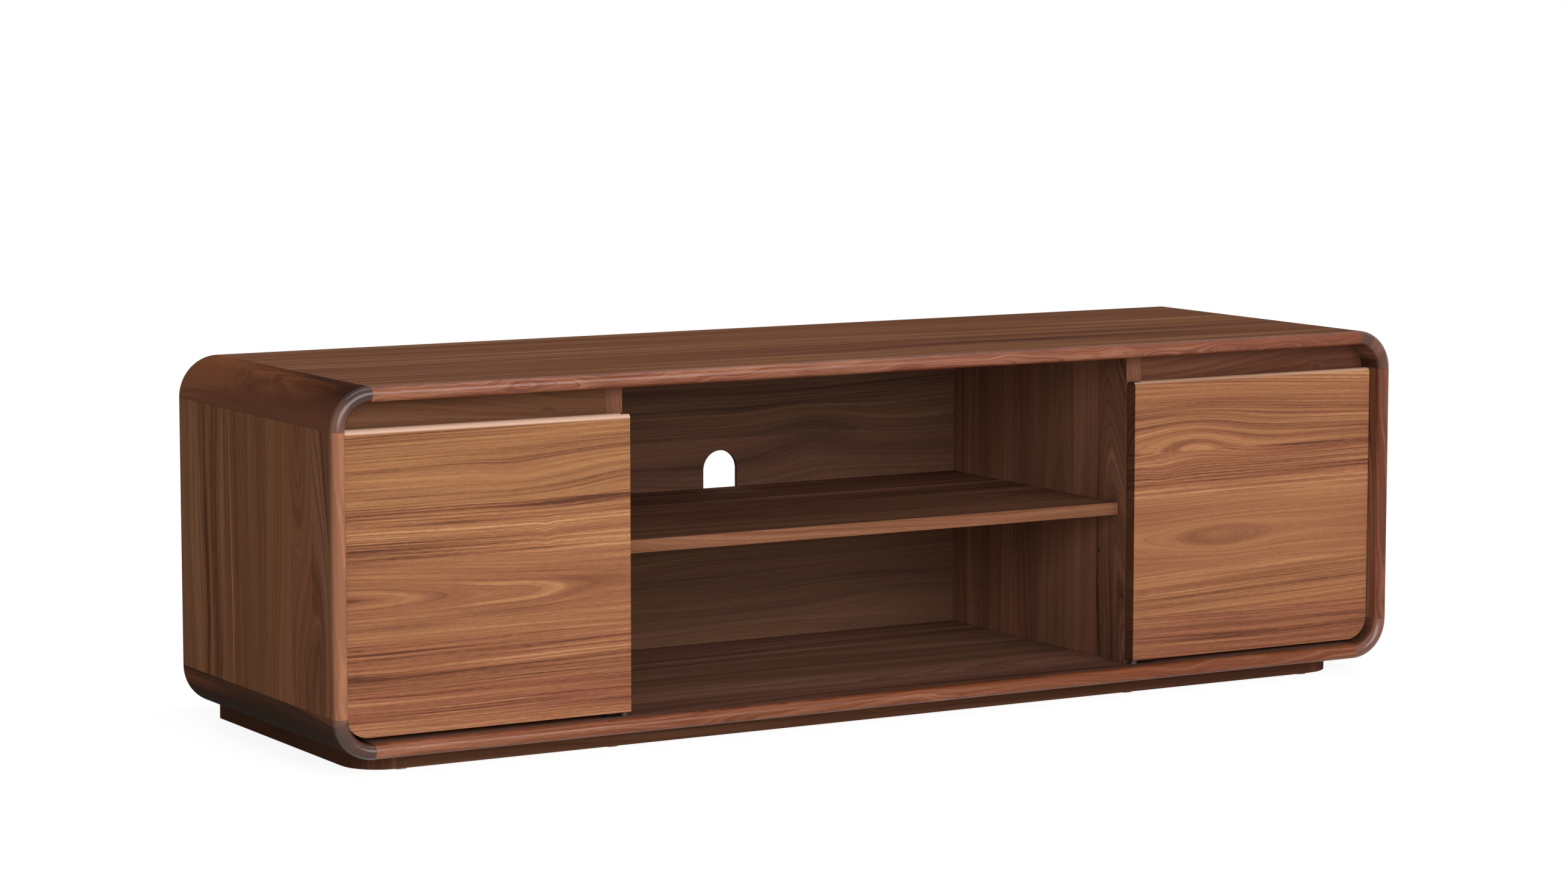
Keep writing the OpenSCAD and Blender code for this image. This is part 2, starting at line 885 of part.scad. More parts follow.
module catch_magnets() {
    color(steel) both_sides()
        translate([catch_mid_x - magnet_l / 2, catch_y0, catch_z0 + (catch_s - magnet_s) / 2])
            cube([magnet_l, magnet_depth, magnet_s]);
}

module catch_screws() {
    color(steel) both_sides() right_catch_screws();
}

module strike_plate() {
    difference() {
        translate([catch_mid_x - strike_l / 2, door_y1, strike_z0])
            cube([strike_l, strike_t, strike_h]);
        right_strike_screw_shape(screw_clear);
    }
}

module right_strike_plate() {
    color(steel) strike_plate();
}

module left_strike_plate() {
    color(steel) mirror([1, 0, 0]) strike_plate();
}

module right_strike_screw() {
    color(steel) right_strike_screw_shape();
}

module left_strike_screw() {
    color(steel) mirror([1, 0, 0]) right_strike_screw_shape();
}

// ---- The assembly ------------------------------------------------------------------

top_panel();
bottom_panel();
left_side_panel();
right_side_panel();
top_left_corner();
top_right_corner();
bottom_left_corner();
bottom_right_corner();
corner_splines();
left_partition();
right_partition();
partition_dowels();
left_header_rail();
right_header_rail();
rail_dowels();
centre_shelf();
centre_shelf_pins();
left_inner_shelf();
right_inner_shelf();
inner_shelf_pins();
back_panel();
back_panel_screws();
plinth_front_rail();
plinth_rear_rail();
plinth_left_rail();
plinth_right_rail();
plinth_left_corner();
plinth_right_corner();
plinth_cross_rails();
plinth_splines();
plinth_screws();
floor_pads();
left_door();
right_door();
left_top_hinge_bracket();
right_top_hinge_bracket();
left_top_hinge_pin();
right_top_hinge_pin();
left_bottom_pivot();
right_bottom_pivot();
left_hinge_bushes();
right_hinge_bushes();
hinge_screws();
left_catch_housing();
right_catch_housing();
catch_magnets();
catch_screws();
left_strike_plate();
right_strike_plate();
left_strike_screw();
right_strike_screw();
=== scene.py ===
# %% [markdown]
# A walnut media cabinet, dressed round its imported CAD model.
# The real one is a case of solid boards with curved corner blocks, an open bay in the
# middle and a pivot-hung door at each side. The CAD model already gives every piece its
# true size and place. This lesson makes the boards that show once more, with smooth
# curves and the edges that sandpaper eases, and gives every piece its real finish.

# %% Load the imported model
import math
import random

import bmesh
import bpy
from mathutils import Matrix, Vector


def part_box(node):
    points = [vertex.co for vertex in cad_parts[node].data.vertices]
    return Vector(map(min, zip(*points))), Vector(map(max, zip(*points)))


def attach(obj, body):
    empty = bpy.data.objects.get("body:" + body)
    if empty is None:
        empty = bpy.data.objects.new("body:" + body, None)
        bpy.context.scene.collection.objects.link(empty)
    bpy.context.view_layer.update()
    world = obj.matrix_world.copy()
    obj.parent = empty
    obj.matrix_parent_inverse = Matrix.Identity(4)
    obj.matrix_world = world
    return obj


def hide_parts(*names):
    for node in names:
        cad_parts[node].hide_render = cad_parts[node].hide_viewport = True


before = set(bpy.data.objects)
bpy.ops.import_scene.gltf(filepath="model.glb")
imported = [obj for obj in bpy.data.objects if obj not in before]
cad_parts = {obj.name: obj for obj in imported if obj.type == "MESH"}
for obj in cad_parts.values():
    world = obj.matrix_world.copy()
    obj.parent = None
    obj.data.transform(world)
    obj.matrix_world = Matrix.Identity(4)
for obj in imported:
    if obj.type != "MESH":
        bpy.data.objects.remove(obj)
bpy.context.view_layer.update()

# %% [markdown]
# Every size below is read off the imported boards, so the dressed pieces lie exactly
# where the CAD pieces lie. Lengths are in metres, and MM writes the small workshop
# sizes, such as a sanded edge, in millimetres.

# %% Measure the boards
MM = 0.001
X, Y, Z = 0, 1, 2


def span(node, axis):
    """Lowest and highest coordinate of a CAD node along one axis."""
    low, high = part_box(node)
    return low[axis], high[axis]


FRONT, REAR = span("top_panel", Y)
TOP_UNDER, TOP = span("top_panel", Z)
BASE, FLOOR = span("bottom_panel", Z)
FLAT_X = span("top_panel", X)[1]
OUTER_X = span("right_side_panel", X)[1]
FLAT_LOW, FLAT_HIGH = span("right_side_panel", Z)
BACK_X = span("back_panel", X)[1]
BACK_LOW, BACK_HIGH = span("back_panel", Z)
BACK_Y = span("back_panel", Y)[0]
BAY_X, PARTITION_X = span("right_partition", X)
CARCASE_Y = span("right_partition", Y)[0]

BOARD = TOP - TOP_UNDER
NOSE = BOARD / 2
INNER_X = OUTER_X - BOARD
CORNER_R = OUTER_X - FLAT_X
INNER_R = CORNER_R - BOARD
REBATE_W = 7 * MM
MIDDLE_Z = (BASE + TOP) / 2
print("board", round(BOARD / MM, 1), "mm, corner radius", round(CORNER_R / MM, 1), "mm")

# %% [markdown]
# A board is an outline pushed along one axis. Blender's own cube or a curve with a
# depth would do for the plain ones, but a bmesh function also takes the rebate and the
# half-round nosing in the same outline, and its faces come out as clean strips.

# %% Make boards from outlines


def arc(centre, radius, start, end, steps):
    """Points along an arc in a plane, with the angles in degrees."""
    points = []
    for k in range(steps + 1):
        turn = math.radians(start + (end - start) * k / steps)
        points.append((centre[0] + radius * math.cos(turn), centre[1] + radius * math.sin(turn)))
    return points


def along_axis(axis, place, point):
    """The 3-D point at `place` along the axis, over an outline point in the other two."""
    others = [a for a in (X, Y, Z) if a != axis]
    full = [0.0, 0.0, 0.0]
    full[axis] = place
    full[others[0]], full[others[1]] = point
    return Vector(full)


def pushed(outline, axis, low, high):
    """A bmesh of the outline pushed from low to high along the axis."""
    made = bmesh.new()
    rings = []
    for place in (low, high):
        rings.append([made.verts.new(along_axis(axis, place, p)) for p in outline])
    near, far = rings
    for k in range(len(outline)):
        n = (k + 1) % len(outline)
        made.faces.new((near[k], near[n], far[n], far[k]))
    made.faces.new(near)
    made.faces.new(far)
    bmesh.ops.recalc_face_normals(made, faces=made.faces)
    return made


def box_outline(low, high):
    """The four corners of a rectangle in an outline's two axes."""
    return [(low[0], low[1]), (high[0], low[1]), (high[0], high[1]), (low[0], high[1])]


NOSE_STEPS = 24


def board_section():
    """A case board's section: thickness from its inner face, and depth from front to back."""
    nose = arc((NOSE, FRONT + NOSE), NOSE, 180, 360, NOSE_STEPS)
    return nose + [(BOARD, REAR), (REBATE_W, REAR), (REBATE_W, BACK_Y), (0.0, BACK_Y)]


print("a case board's section has", len(board_section()), "points")

# %% [markdown]
# A finished piece is a mesh with its edges eased. Sandpaper takes a few tenths of a
# millimetre off every sharp edge, and that thin round is what catches the light. The
# bevel modifier does it by angle, so the finely stepped noses stay as they are, and
# weighted normals keep the wide faces flat beside the small rounds.

# %% Turn a mesh into a finished piece


def finished(name, made, body, node, material, ease=0.3 * MM):
    """A piece from a bmesh: eased, shaded, given its finish and riding on its body."""
    mesh = bpy.data.meshes.new(name)
    for face in made.faces:
        face.smooth = True
    made.to_mesh(mesh)
    made.free()
    piece = bpy.data.objects.new(name, mesh)
    bpy.context.scene.collection.objects.link(piece)
    mesh.materials.append(material)
    bevel = piece.modifiers.new("eased edges", "BEVEL")
    bevel.width = ease
    bevel.segments = 2
    bevel.limit_method = "ANGLE"
    bevel.angle_limit = math.radians(30)
    bevel.use_clamp_overlap = False
    normals = piece.modifiers.new("flat faces", "WEIGHTED_NORMAL")
    normals.keep_sharp = True
    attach(piece, body)
    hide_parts(node)
    print(name, "with", len(mesh.polygons), "faces before its edges are eased")
    return piece


# %% [markdown]
# Where a metal fitting is let into the wood, the wood needs a mortise of the same
# shape. A maker scribes round the fitting itself, and so does this: the fitting's own
# mesh, grown by a hair, is the cutter of a boolean.

# %% Cut mortises and holes


def grown(node, hair=0.06 * MM, shift=(0, 0, 0)):
    """A bmesh of a CAD fitting, grown along its normals by a hair."""
    cutter = bmesh.new()
    cutter.from_mesh(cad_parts[node].data)
    bmesh.ops.remove_doubles(cutter, verts=cutter.verts, dist=0.001 * MM)
    bmesh.ops.recalc_face_normals(cutter, faces=cutter.faces)
    cutter.normal_update()
    moves = [(v, v.co + v.normal * hair + Vector(shift)) for v in cutter.verts]
    for v, place in moves:
        v.co = place
    return cutter


def carved(made, *cutters):
    """The bmesh `made` with every cutter taken out of it."""
    scene = bpy.context.scene
    mesh = bpy.data.meshes.new("blank")
    made.to_mesh(mesh)
    made.free()
    blank = bpy.data.objects.new("blank", mesh)
    scene.collection.objects.link(blank)
    tools = []
    for cutter in cutters:
        tool_mesh = bpy.data.meshes.new("tool")
        cutter.to_mesh(tool_mesh)
        cutter.free()
        tool = bpy.data.objects.new("tool", tool_mesh)
        scene.collection.objects.link(tool)
        cut = blank.modifiers.new("cut", "BOOLEAN")
        cut.operation = "DIFFERENCE"
        cut.solver = "EXACT"
        cut.object = tool
        tools.append(tool)
    seen = bpy.context.evaluated_depsgraph_get()
    result = bmesh.new()
    result.from_mesh(blank.evaluated_get(seen).to_mesh())
    for scrap in [blank, *tools]:
        bpy.data.objects.remove(scrap)
    return result


def block(low, high):
    """A plain bmesh box, for cutting and for square-edged parts."""
    return pushed(box_outline(low[:2], high[:2]), Z, low[2], high[2])


cutter = grown("left_bottom_pivot")
print("the cutter for a pivot's mortise has", len(cutter.faces), "faces")
cutter.free()

# %% [markdown]
# Colours are written as sRGB hex values, as a paint card gives them, and one function
# turns them to the linear values that the shaders want. One more function adds a shader
# node with its settings and links, and every finish below is built with it.

# %% Colours and shader nodes


def linear(colour):
    """A linear RGBA colour from an sRGB hex value such as "#996648"."""
    channels = []
    for k in (1, 3, 5):
        c = int(colour[k:k + 2], 16) / 255
        channels.append(c / 12.92 if c <= 0.04045 else ((c + 0.055) / 1.055) ** 2.4)
    return (*channels, 1.0)


def add(tree, kind, inputs=None, **settings):
    """Add one node; each input is a plain value or the output socket that feeds it."""
    made = tree.nodes.new("ShaderNode" + kind)
    for key, value in settings.items():
        setattr(made, key, value)
    for key, value in (inputs or {}).items():
        if isinstance(value, bpy.types.NodeSocket):
            tree.links.new(value, made.inputs[key])
        else:
            made.inputs[key].default_value = value
    return made


def new_material(name):
    """An empty material, its node tree, its surface shader, and its output linked."""
    material = bpy.data.materials.new(name)
    material.use_nodes = True
    tree = material.node_tree
    tree.nodes.clear()
    surface = add(tree, "BsdfPrincipled")
    add(tree, "OutputMaterial", {"Surface": surface.outputs["BSDF"]})
    return material, tree, surface


print("a walnut brown in linear light:", [round(c, 3) for c in linear("#996648")])

# %% [markdown]
# American black walnut, sanded and wiped with satin oil. A tree's growth rings are
# nearly cylinders round its heart, and a board is a slice through them: where the slice
# runs near the heart the rings show as tall arches, and further out as straight lines.
# So every colour and line below is drawn against the distance to a heart line. Object
# coordinates, turned to lie along the board, keep each pattern at its real scale, carry
# it round a nose without a seam, and let it stay put when a door turns.

# %% Find a point's place on its board
WALNUT_IOR = 1.5

# How often each pattern repeats in a metre: along the grain, across it, into the board.
# Real pores are 0.1 to 0.2 mm wide, and a single fibre is finer still. Both are drawn
# as coarse as they need to be to show.
SLOW_BENDS = (1.9, 10.0, 10.0)      # the trunk's sway, 530 mm long and 100 mm wide
QUICK_BENDS = (6.0, 34.0, 34.0)     # small bends, 170 mm long and 30 mm wide
CURLS = (9.0, 32.0, 32.0)           # curly grain at a rounded border, 110 by 30 mm
BROAD_BANDS = (1.2, 48.0, 1.0)      # bands of colour, 21 mm wide
FINE_LINES = (2.2, 300.0, 1.0)      # the rings' fine lines, 3.3 mm apart
STRONG_YEARS = (1.7, 36.0, 1.0)     # runs of years with strong late wood, 28 mm wide
FIBRES = (70.0, 900.0, 900.0)       # bundles of fibres, 14 mm long and 1.1 mm wide
PORES = (240.0, 2900.0, 2900.0)     # open pores, 4 mm long and 0.34 mm wide


def board_place(tree, along, across, centre):
    """The object's own axes, and the place along the grain, across it and into the board."""
    depth = ({X, Y, Z} - {along, across}).pop()
    place = add(tree, "TexCoord").outputs["Object"]
    own = add(tree, "SeparateXYZ", {0: place}).outputs
    turned = add(tree, "CombineXYZ", {0: own[along], 1: own[across], 2: own[depth]})
    middle = (centre[along], centre[across], centre[depth])
    board = add(tree, "VectorMath", {0: turned.outputs[0], 1: middle}, operation="SUBTRACT")
    return own, board.outputs[0]


print("pores:", [round(1000 / often, 2) for often in PORES[:2]], "mm long and wide")

# %% [markdown]
# A panel is glued up from staves, each from another part of a tree. The joints can't be
# felt, so the staves are not meshes of their own: two stepped colour ramps across the
# board hold where each stave's heart line lies, how dark and red the stave is, and how
# bold its grain. Ramp colours stay between 0 and 1, so signed values are stored half up.

# %% Glue up the staves
APART = (61.0, 170.0, 83.0)         # moves the patterns of two staves far from each other


def ramp(tree, factor, stops, stepped=False):
    """The colour and alpha of a ramp through (position, colour) stops, smooth or in steps."""
    made = add(tree, "ValToRGB", {0: factor})
    made.color_ramp.interpolation = "CONSTANT" if stepped else "LINEAR"
    elements = made.color_ramp.elements
    while len(elements) < len(stops):
        elements.new(1.0)
    for element, (position, colour) in zip(elements, stops):
        element.position = position
        element.color = colour
    return made.outputs


def glued(low, high, width, seed, lie=0.16, depth=(0.03, 0.10), slope=0.10, vary=0.12):
    """Staves from low to high: start, heart, depth, slope, lean, shade, warmth, boldness."""
    dice = random.Random(seed)
    staves = []
    start = low
    while start < high - 0.3 * width:
        wide = width * dice.uniform(0.75, 1.25)
        staves.append((start, start + wide / 2 + dice.uniform(-lie, lie), dice.uniform(*depth),
                       dice.uniform(-slope, slope), dice.uniform(-0.01, 0.01),
                       1 + dice.uniform(-vary, vary), dice.uniform(0.25, 0.65),
                       dice.uniform(0.7, 1.25)))
        start += wide
    return staves


def stave_ramps(tree, board, size, staves):
    """Each stave's heart line (place, depth, slope), its boldness, and its look."""
    across = add(tree, "SeparateXYZ", {0: board}).outputs[1]
    step = add(tree, "MapRange", {0: across, 1: -size / 2, 2: size / 2}).outputs[0]
    hearts, looks = [], []
    for start, heart, deep, slope, lean, shade, warmth, boldness in staves:
        position = min(max(start / size + 0.5, 0.0), 1.0)
        hearts.append((position, (heart + 0.5, deep, slope + 0.5, boldness / 2)))
        looks.append((position, (shade / 2, warmth, lean + 0.5, 1.0)))
    hearts, boldness = ramp(tree, step, hearts, stepped=True)
    bold = add(tree, "Math", {0: boldness, 1: 2.0}, operation="MULTIPLY").outputs[0]
    look = add(tree, "SeparateXYZ", {0: ramp(tree, step, looks, stepped=True)[0]}).outputs
    return hearts, bold, look


def set_apart(tree, place, hearts):
    """The place, moved by another distance for each stave."""
    jumps = add(tree, "VectorMath", {0: hearts, 1: APART}, operation="MULTIPLY").outputs[0]
    return add(tree, "VectorMath", {0: place, 1: jumps}, operation="ADD").outputs[0]


print("staves of a 450 mm board:", len(glued(-0.225, 0.225, 95 * MM, seed=4)))

# %% [markdown]
# The rings: each point's distance to its stave's heart line, which slopes into the board
# and leans to one side, and is bent by slow and quick noise as a trunk is. A wood
# texture node draws rings round a straight axis only. Knots and swirls lift the rings in
# one place, and the lines flow round them.

# %% Draw the growth rings
# How far the slow bends move the heart line and the rings, and the quick bends the rings
HEART_SWAY, RING_SWAY, RING_SHAKE = 50 * MM, 16 * MM, 4.5 * MM


def growth_rings(tree, board, parted, hearts, lean, bend):
    """Distance to the heart line in metres, with a slow and a quick bend."""
    slow = add(tree, "VectorMath", {0: parted, 1: SLOW_BENDS}, operation="MULTIPLY").outputs[0]
    slow = add(tree, "TexNoise", {"Vector": slow, "Scale": 1.0, "Detail": 1.0}).outputs[0]
    quick = add(tree, "VectorMath", {0: parted, 1: QUICK_BENDS},
                operation="MULTIPLY").outputs[0]
    quick = add(tree, "TexNoise", {"Vector": quick, "Scale": 1.0, "Detail": 2.0}).outputs[0]

    place = add(tree, "SeparateXYZ", {0: board}).outputs
    heart = add(tree, "SeparateXYZ", {0: hearts}).outputs
    beside = add(tree, "Math", {0: place[1], 1: heart[0]}, operation="SUBTRACT").outputs[0]
    lean = add(tree, "Math", {0: lean, 1: -0.5}, operation="ADD").outputs[0]
    lean = add(tree, "Math", {0: lean, 1: place[0], 2: -0.5},
               operation="MULTIPLY_ADD").outputs[0]
    beside = add(tree, "Math", {0: beside, 1: lean}, operation="SUBTRACT").outputs[0]

    slope = add(tree, "Math", {0: heart[2], 1: -0.5}, operation="ADD").outputs[0]
    below = add(tree, "Math", {0: slope, 1: place[0], 2: heart[1]},
                operation="MULTIPLY_ADD").outputs[0]
    below = add(tree, "Math", {0: below, 1: place[2]}, operation="ADD").outputs[0]
    below = add(tree, "Math", {0: slow, 1: HEART_SWAY * bend, 2: below},
                operation="MULTIPLY_ADD").outputs[0]

    to_heart = add(tree, "CombineXYZ", {0: beside, 1: below}).outputs[0]
    rings = add(tree, "VectorMath", {0: to_heart}, operation="LENGTH").outputs["Value"]
    rings = add(tree, "Math", {0: slow, 1: RING_SWAY * bend, 2: rings},
                operation="MULTIPLY_ADD").outputs[0]
    return add(tree, "Math", {0: quick, 1: RING_SHAKE * bend, 2: rings},
               operation="MULTIPLY_ADD").outputs[0]


def near_spot(tree, board, along, across, length, width):
    """1 at a spot on the board, falling to nothing over its length and width."""
    away = add(tree, "VectorMath", {0: board, 1: (along, across, 0.0)}, operation="SUBTRACT")
    away = add(tree, "VectorMath", {0: away.outputs[0], 1: (1 / length, 1 / width, 0.0)},
               operation="MULTIPLY").outputs[0]
    away = add(tree, "VectorMath", {0: away, 1: away}, operation="DOT_PRODUCT")
    return add(tree, "Math", {0: math.exp(-1), 1: away.outputs["Value"]},
               operation="POWER").outputs[0]


def figured(tree, board, rings, figures):
    """The rings, lifted at every knot and swirl."""
    for along, across, length, width, lift in figures:
        near = near_spot(tree, board, along, across, length, width)
        rings = add(tree, "Math", {0: near, 1: lift, 2: rings},
                    operation="MULTIPLY_ADD").outputs[0]
    return rings


print("bends move a ring by up to", round((RING_SWAY + RING_SHAKE) / MM, 1), "mm")

# %% [markdown]
# Noses and other borders are cut from livelier wood, rubbed smooth by hands and cloths.
# There the grain curls and the figure is bolder, the colour goes towards another, and
# the oil turns glossy, which a clear coat over the wood shows best. Some border tints are
# painted light: the pale strip along each door's top and the pale left side nose are
# painted highlight, and the dark hinge edge of each door is partly painted shade.

# %% Liven and polish the borders
BORDER_BOLD = 1.2                   # how much bolder the grain is at the outermost line
SHINE_RISE = 3.0                    # the coat's power law: most of it near that line


def lively(tree, own, parted, rings, bold, edges):
    """The rings and boldness with the borders' curls, and how far into each border we are."""
    curl = add(tree, "VectorMath", {0: parted, 1: CURLS}, operation="MULTIPLY").outputs[0]
    curl = add(tree, "TexNoise", {"Vector": curl, "Scale": 1.0, "Detail": 1.0}).outputs[0]
    borders = []
    for axis, inner, outer, coat, tone, part, wild in edges:
        border = add(tree, "MapRange", {0: own[axis], 1: inner, 2: outer}).outputs[0]
        borders.append(border)
        if wild:
            curled = add(tree, "Math", {0: curl, 1: border}, operation="MULTIPLY").outputs[0]
            rings = add(tree, "Math", {0: curled, 1: wild, 2: rings},
                        operation="MULTIPLY_ADD").outputs[0]
            bold = add(tree, "Math", {0: border, 1: BORDER_BOLD, 2: bold},
                       operation="MULTIPLY_ADD").outputs[0]
    return rings, bold, borders


def polished(tree, colour, borders, edges):
    """The colour tinted towards each border, and the clear coat there, or None."""
    polish = None
    for border, (axis, inner, outer, coat, tone, part, wild) in zip(borders, edges):
        tinted = add(tree, "Math", {0: border, 1: part}, operation="MULTIPLY").outputs[0]
        colour = add(tree, "Mix", {0: tinted, 6: colour, 7: linear(tone)},
                     data_type="RGBA").outputs[2]
        shine = add(tree, "Math", {0: border, 1: SHINE_RISE}, operation="POWER").outputs[0]
        shine = add(tree, "Math", {0: shine, 1: coat}, operation="MULTIPLY").outputs[0]
        polish = shine if polish is None else add(
            tree, "Math", {0: shine, 1: polish}, operation="MAXIMUM").outputs[0]
    return colour, polish


print("halfway into a border the coat has", 0.5 ** SHINE_RISE, "of its full weight")

# %% [markdown]
# What the eye reads as walnut is broad bands and fine lines of brown that follow the
# rings, with a fuzz of fibres over them. Each year ends in a dark line of late wood,
# strong in some years only, and everywhere lie the open pores, short dark dashes.

# %% Draw bands, late wood and pores
# Parts of a year at which the late wood starts, is darkest, and gives way to the next year
LATE_START, LATE_DARK, YEAR_TURNS = 0.45, 0.93, 0.94
PORE_EDGE, PORE_HEART = 0.58, 0.74  # noise values at the edge and in the middle of a pore


def colour_bands(tree, flow, parted, bold, coarse, fine):
    """Where each point lies between the darkest and the palest tone; also its noises."""
    wide = add(tree, "VectorMath", {0: flow, 1: BROAD_BANDS}, operation="MULTIPLY").outputs[0]
    wide = add(tree, "TexNoise", {"Vector": wide, "Scale": 1.0, "Detail": 1.0}).outputs[0]
    thin = add(tree, "VectorMath", {0: flow, 1: FINE_LINES}, operation="MULTIPLY").outputs[0]
    thin = add(tree, "TexNoise", {"Vector": thin, "Scale": 1.0, "Detail": 3.0,
                                  "Roughness": 0.68}).outputs[0]
    fuzz = add(tree, "VectorMath", {0: parted, 1: FIBRES}, operation="MULTIPLY").outputs[0]
    fuzz = add(tree, "TexNoise", {"Vector": fuzz, "Scale": 1.0, "Detail": 1.0}).outputs[0]
    bands = add(tree, "Math", {0: wide, 1: coarse, 2: -0.5 * (coarse + 1.25 * fine)},
                operation="MULTIPLY_ADD").outputs[0]
    bands = add(tree, "Math", {0: thin, 1: fine, 2: bands}, operation="MULTIPLY_ADD").outputs[0]
    bands = add(tree, "Math", {0: fuzz, 1: 0.25 * fine, 2: bands},
                operation="MULTIPLY_ADD").outputs[0]
    bands = add(tree, "Math", {0: bands, 1: bold, 2: 0.5}, operation="MULTIPLY_ADD").outputs[0]
    return bands, wide, thin


def late_wood(tree, flow, rings, wide, bold, ring, lines):
    """How dark the line at each year's end is."""
    year = add(tree, "Math", {0: rings, 1: 1 / ring}, operation="MULTIPLY").outputs[0]
    year = add(tree, "Math", {0: wide, 1: 4.0, 2: year}, operation="MULTIPLY_ADD").outputs[0]
    year = add(tree, "Math", {0: year}, operation="FRACT").outputs[0]
    late = add(tree, "MapRange", {0: year, 1: LATE_START, 2: LATE_DARK}).outputs[0]
    late = add(tree, "Math", {0: late, 1: 2.2}, operation="POWER").outputs[0]
    fade = add(tree, "MapRange", {0: year, 1: YEAR_TURNS, 2: 1.0, 3: 1.0, 4: 0.0}).outputs[0]
    late = add(tree, "Math", {0: late, 1: fade}, operation="MULTIPLY").outputs[0]
    strong = add(tree, "VectorMath", {0: flow, 1: STRONG_YEARS},
                 operation="MULTIPLY").outputs[0]
    strong = add(tree, "TexNoise", {"Vector": strong, "Scale": 1.0, "Detail": 2.0}).outputs[0]
    strong = add(tree, "MapRange", {0: strong, 1: 0.42, 2: 0.62, 3: 0.15 * lines,
                                    4: lines}).outputs[0]
    late = add(tree, "Math", {0: late, 1: strong}, operation="MULTIPLY").outputs[0]
    return add(tree, "Math", {0: late, 1: bold}, operation="MULTIPLY",
               use_clamp=True).outputs[0]


def open_pores(tree, parted):
    """1 in a pore and 0 beside it."""
    dashes = add(tree, "VectorMath", {0: parted, 1: PORES}, operation="MULTIPLY").outputs[0]
    dashes = add(tree, "TexNoise", {"Vector": dashes, "Scale": 1.0, "Detail": 0.0}).outputs[0]
    return add(tree, "MapRange", {0: dashes, 1: PORE_EDGE, 2: PORE_HEART}).outputs[0]


print("late wood takes up the last", round(1 - LATE_START, 2), "of a year")

# %% [markdown]
# The colour is one ramp from the darkest line to the palest wood, turned redder and
# darker or lighter for each stave. Late wood, streaks and pores are mixed in as the
# darkest tone. Satin oil leaves the surface dull: the open pores are sunk, and only a
# little of the light comes back as shine.

# %% The walnut finish
COAT_ROUGH = 0.22                   # well rubbed oil, short of a polish
REDDEST, YELLOWEST = 0.486, 0.512   # hues of the reddest and yellowest stave; 0.5 is neither
GRAIN_DEPTH = 0.12 * MM             # how deep the open pores sink


def walnut_colour(tree, board, bands, late, pores, look, tones, streaks):
    """The wood's colour before the borders are tinted."""
    last = len(tones) - 1
    dark = linear(tones[0])
    colour = ramp(tree, bands, [(k / last, linear(tone)) for k, tone in enumerate(tones)])[0]
    hue = add(tree, "MapRange", {0: look[1], 1: 0.0, 2: 1.0, 3: REDDEST,
                                  4: YELLOWEST}).outputs[0]
    shade = add(tree, "Math", {0: look[0], 1: 2.0}, operation="MULTIPLY").outputs[0]
    colour = add(tree, "HueSaturation", {"Color": colour, "Hue": hue,
                                         "Value": shade}).outputs[0]
    colour = add(tree, "Mix", {0: late, 6: colour, 7: dark}, data_type="RGBA").outputs[2]
    for along, across, length, width, strength in streaks:
        near = near_spot(tree, board, along, across, length, width)
        near = add(tree, "Math", {0: near, 1: strength}, operation="MULTIPLY").outputs[0]
        colour = add(tree, "Mix", {0: near, 6: colour, 7: dark}, data_type="RGBA").outputs[2]
    holes = add(tree, "Math", {0: pores, 1: 0.3}, operation="MULTIPLY").outputs[0]
    return add(tree, "Mix", {0: holes, 6: colour, 7: dark}, data_type="RGBA").outputs[2]


def walnut(name, along, across, centre, size, tones, staves, bend=1.0, ring=4.2 * MM,
           coarse=1.1, fine=2.4, lines=0.5, gloss=0.9, shine=0.03, figures=(), streaks=(),
           edges=()):
    """Oiled walnut. `along` and `across` are the grain's axes and `centre` the board's middle.

    size: the board's width across the staves. tones: hex colours from the darkest line to
    the palest wood. figures are knots and swirls as (along, across, length, width, lift);
    streaks are dark lines as (along, across, length, width, dark). edges are polished
    borders as (axis, inner, outer, coat, colour, part, wild): from inner to outer the oil
    turns glossier, the colour goes by that part towards another, and the grain curls.
    Some of these tints are painted light: a pale one for a highlight, a dark one for shade.
    """
    material, tree, surface = new_material(name)
    own, board = board_place(tree, along, across, centre)
    hearts, bold, look = stave_ramps(tree, board, size, staves)
    parted = set_apart(tree, board, hearts)
    rings = growth_rings(tree, board, parted, hearts, look[2], bend)
    rings = figured(tree, board, rings, figures)
    rings, bold, borders = lively(tree, own, parted, rings, bold, edges)

    # The grain's own coordinates: along the board, and out from the heart
    lengthwise = add(tree, "SeparateXYZ", {0: board}).outputs[0]
    flow = add(tree, "CombineXYZ", {0: lengthwise, 1: rings}).outputs[0]
    flow = set_apart(tree, flow, hearts)
    bands, wide, thin = colour_bands(tree, flow, parted, bold, coarse, fine)
    late = late_wood(tree, flow, rings, wide, bold, ring, lines)
    pores = open_pores(tree, parted)
    colour = walnut_colour(tree, board, bands, late, pores, look, tones, streaks)
    colour, polish = polished(tree, colour, borders, edges)

    rough = add(tree, "MapRange", {0: bands, 1: 0.0, 2: 1.0, 3: gloss - 0.05,
                                   4: gloss + 0.07}).outputs[0]
    height = add(tree, "Math", {0: thin, 1: 0.5}, operation="MULTIPLY").outputs[0]
    height = add(tree, "Math", {0: height, 1: pores}, operation="SUBTRACT").outputs[0]
    relief = add(tree, "Bump", {"Height": height, "Strength": 0.35, "Distance": GRAIN_DEPTH})
    surface.inputs["IOR"].default_value = WALNUT_IOR
    surface.inputs["Specular IOR Level"].default_value = shine
    surface.inputs["Coat Roughness"].default_value = COAT_ROUGH
    tree.links.new(colour, surface.inputs["Base Color"])
    tree.links.new(rough, surface.inputs["Roughness"])
    tree.links.new(relief.outputs[0], surface.inputs["Normal"])
    if polish is not None:
        tree.links.new(polish, surface.inputs["Coat Weight"])
    return material


print("oiled walnut: IOR", WALNUT_IOR, "and a coat on the borders, roughness", COAT_ROUGH)
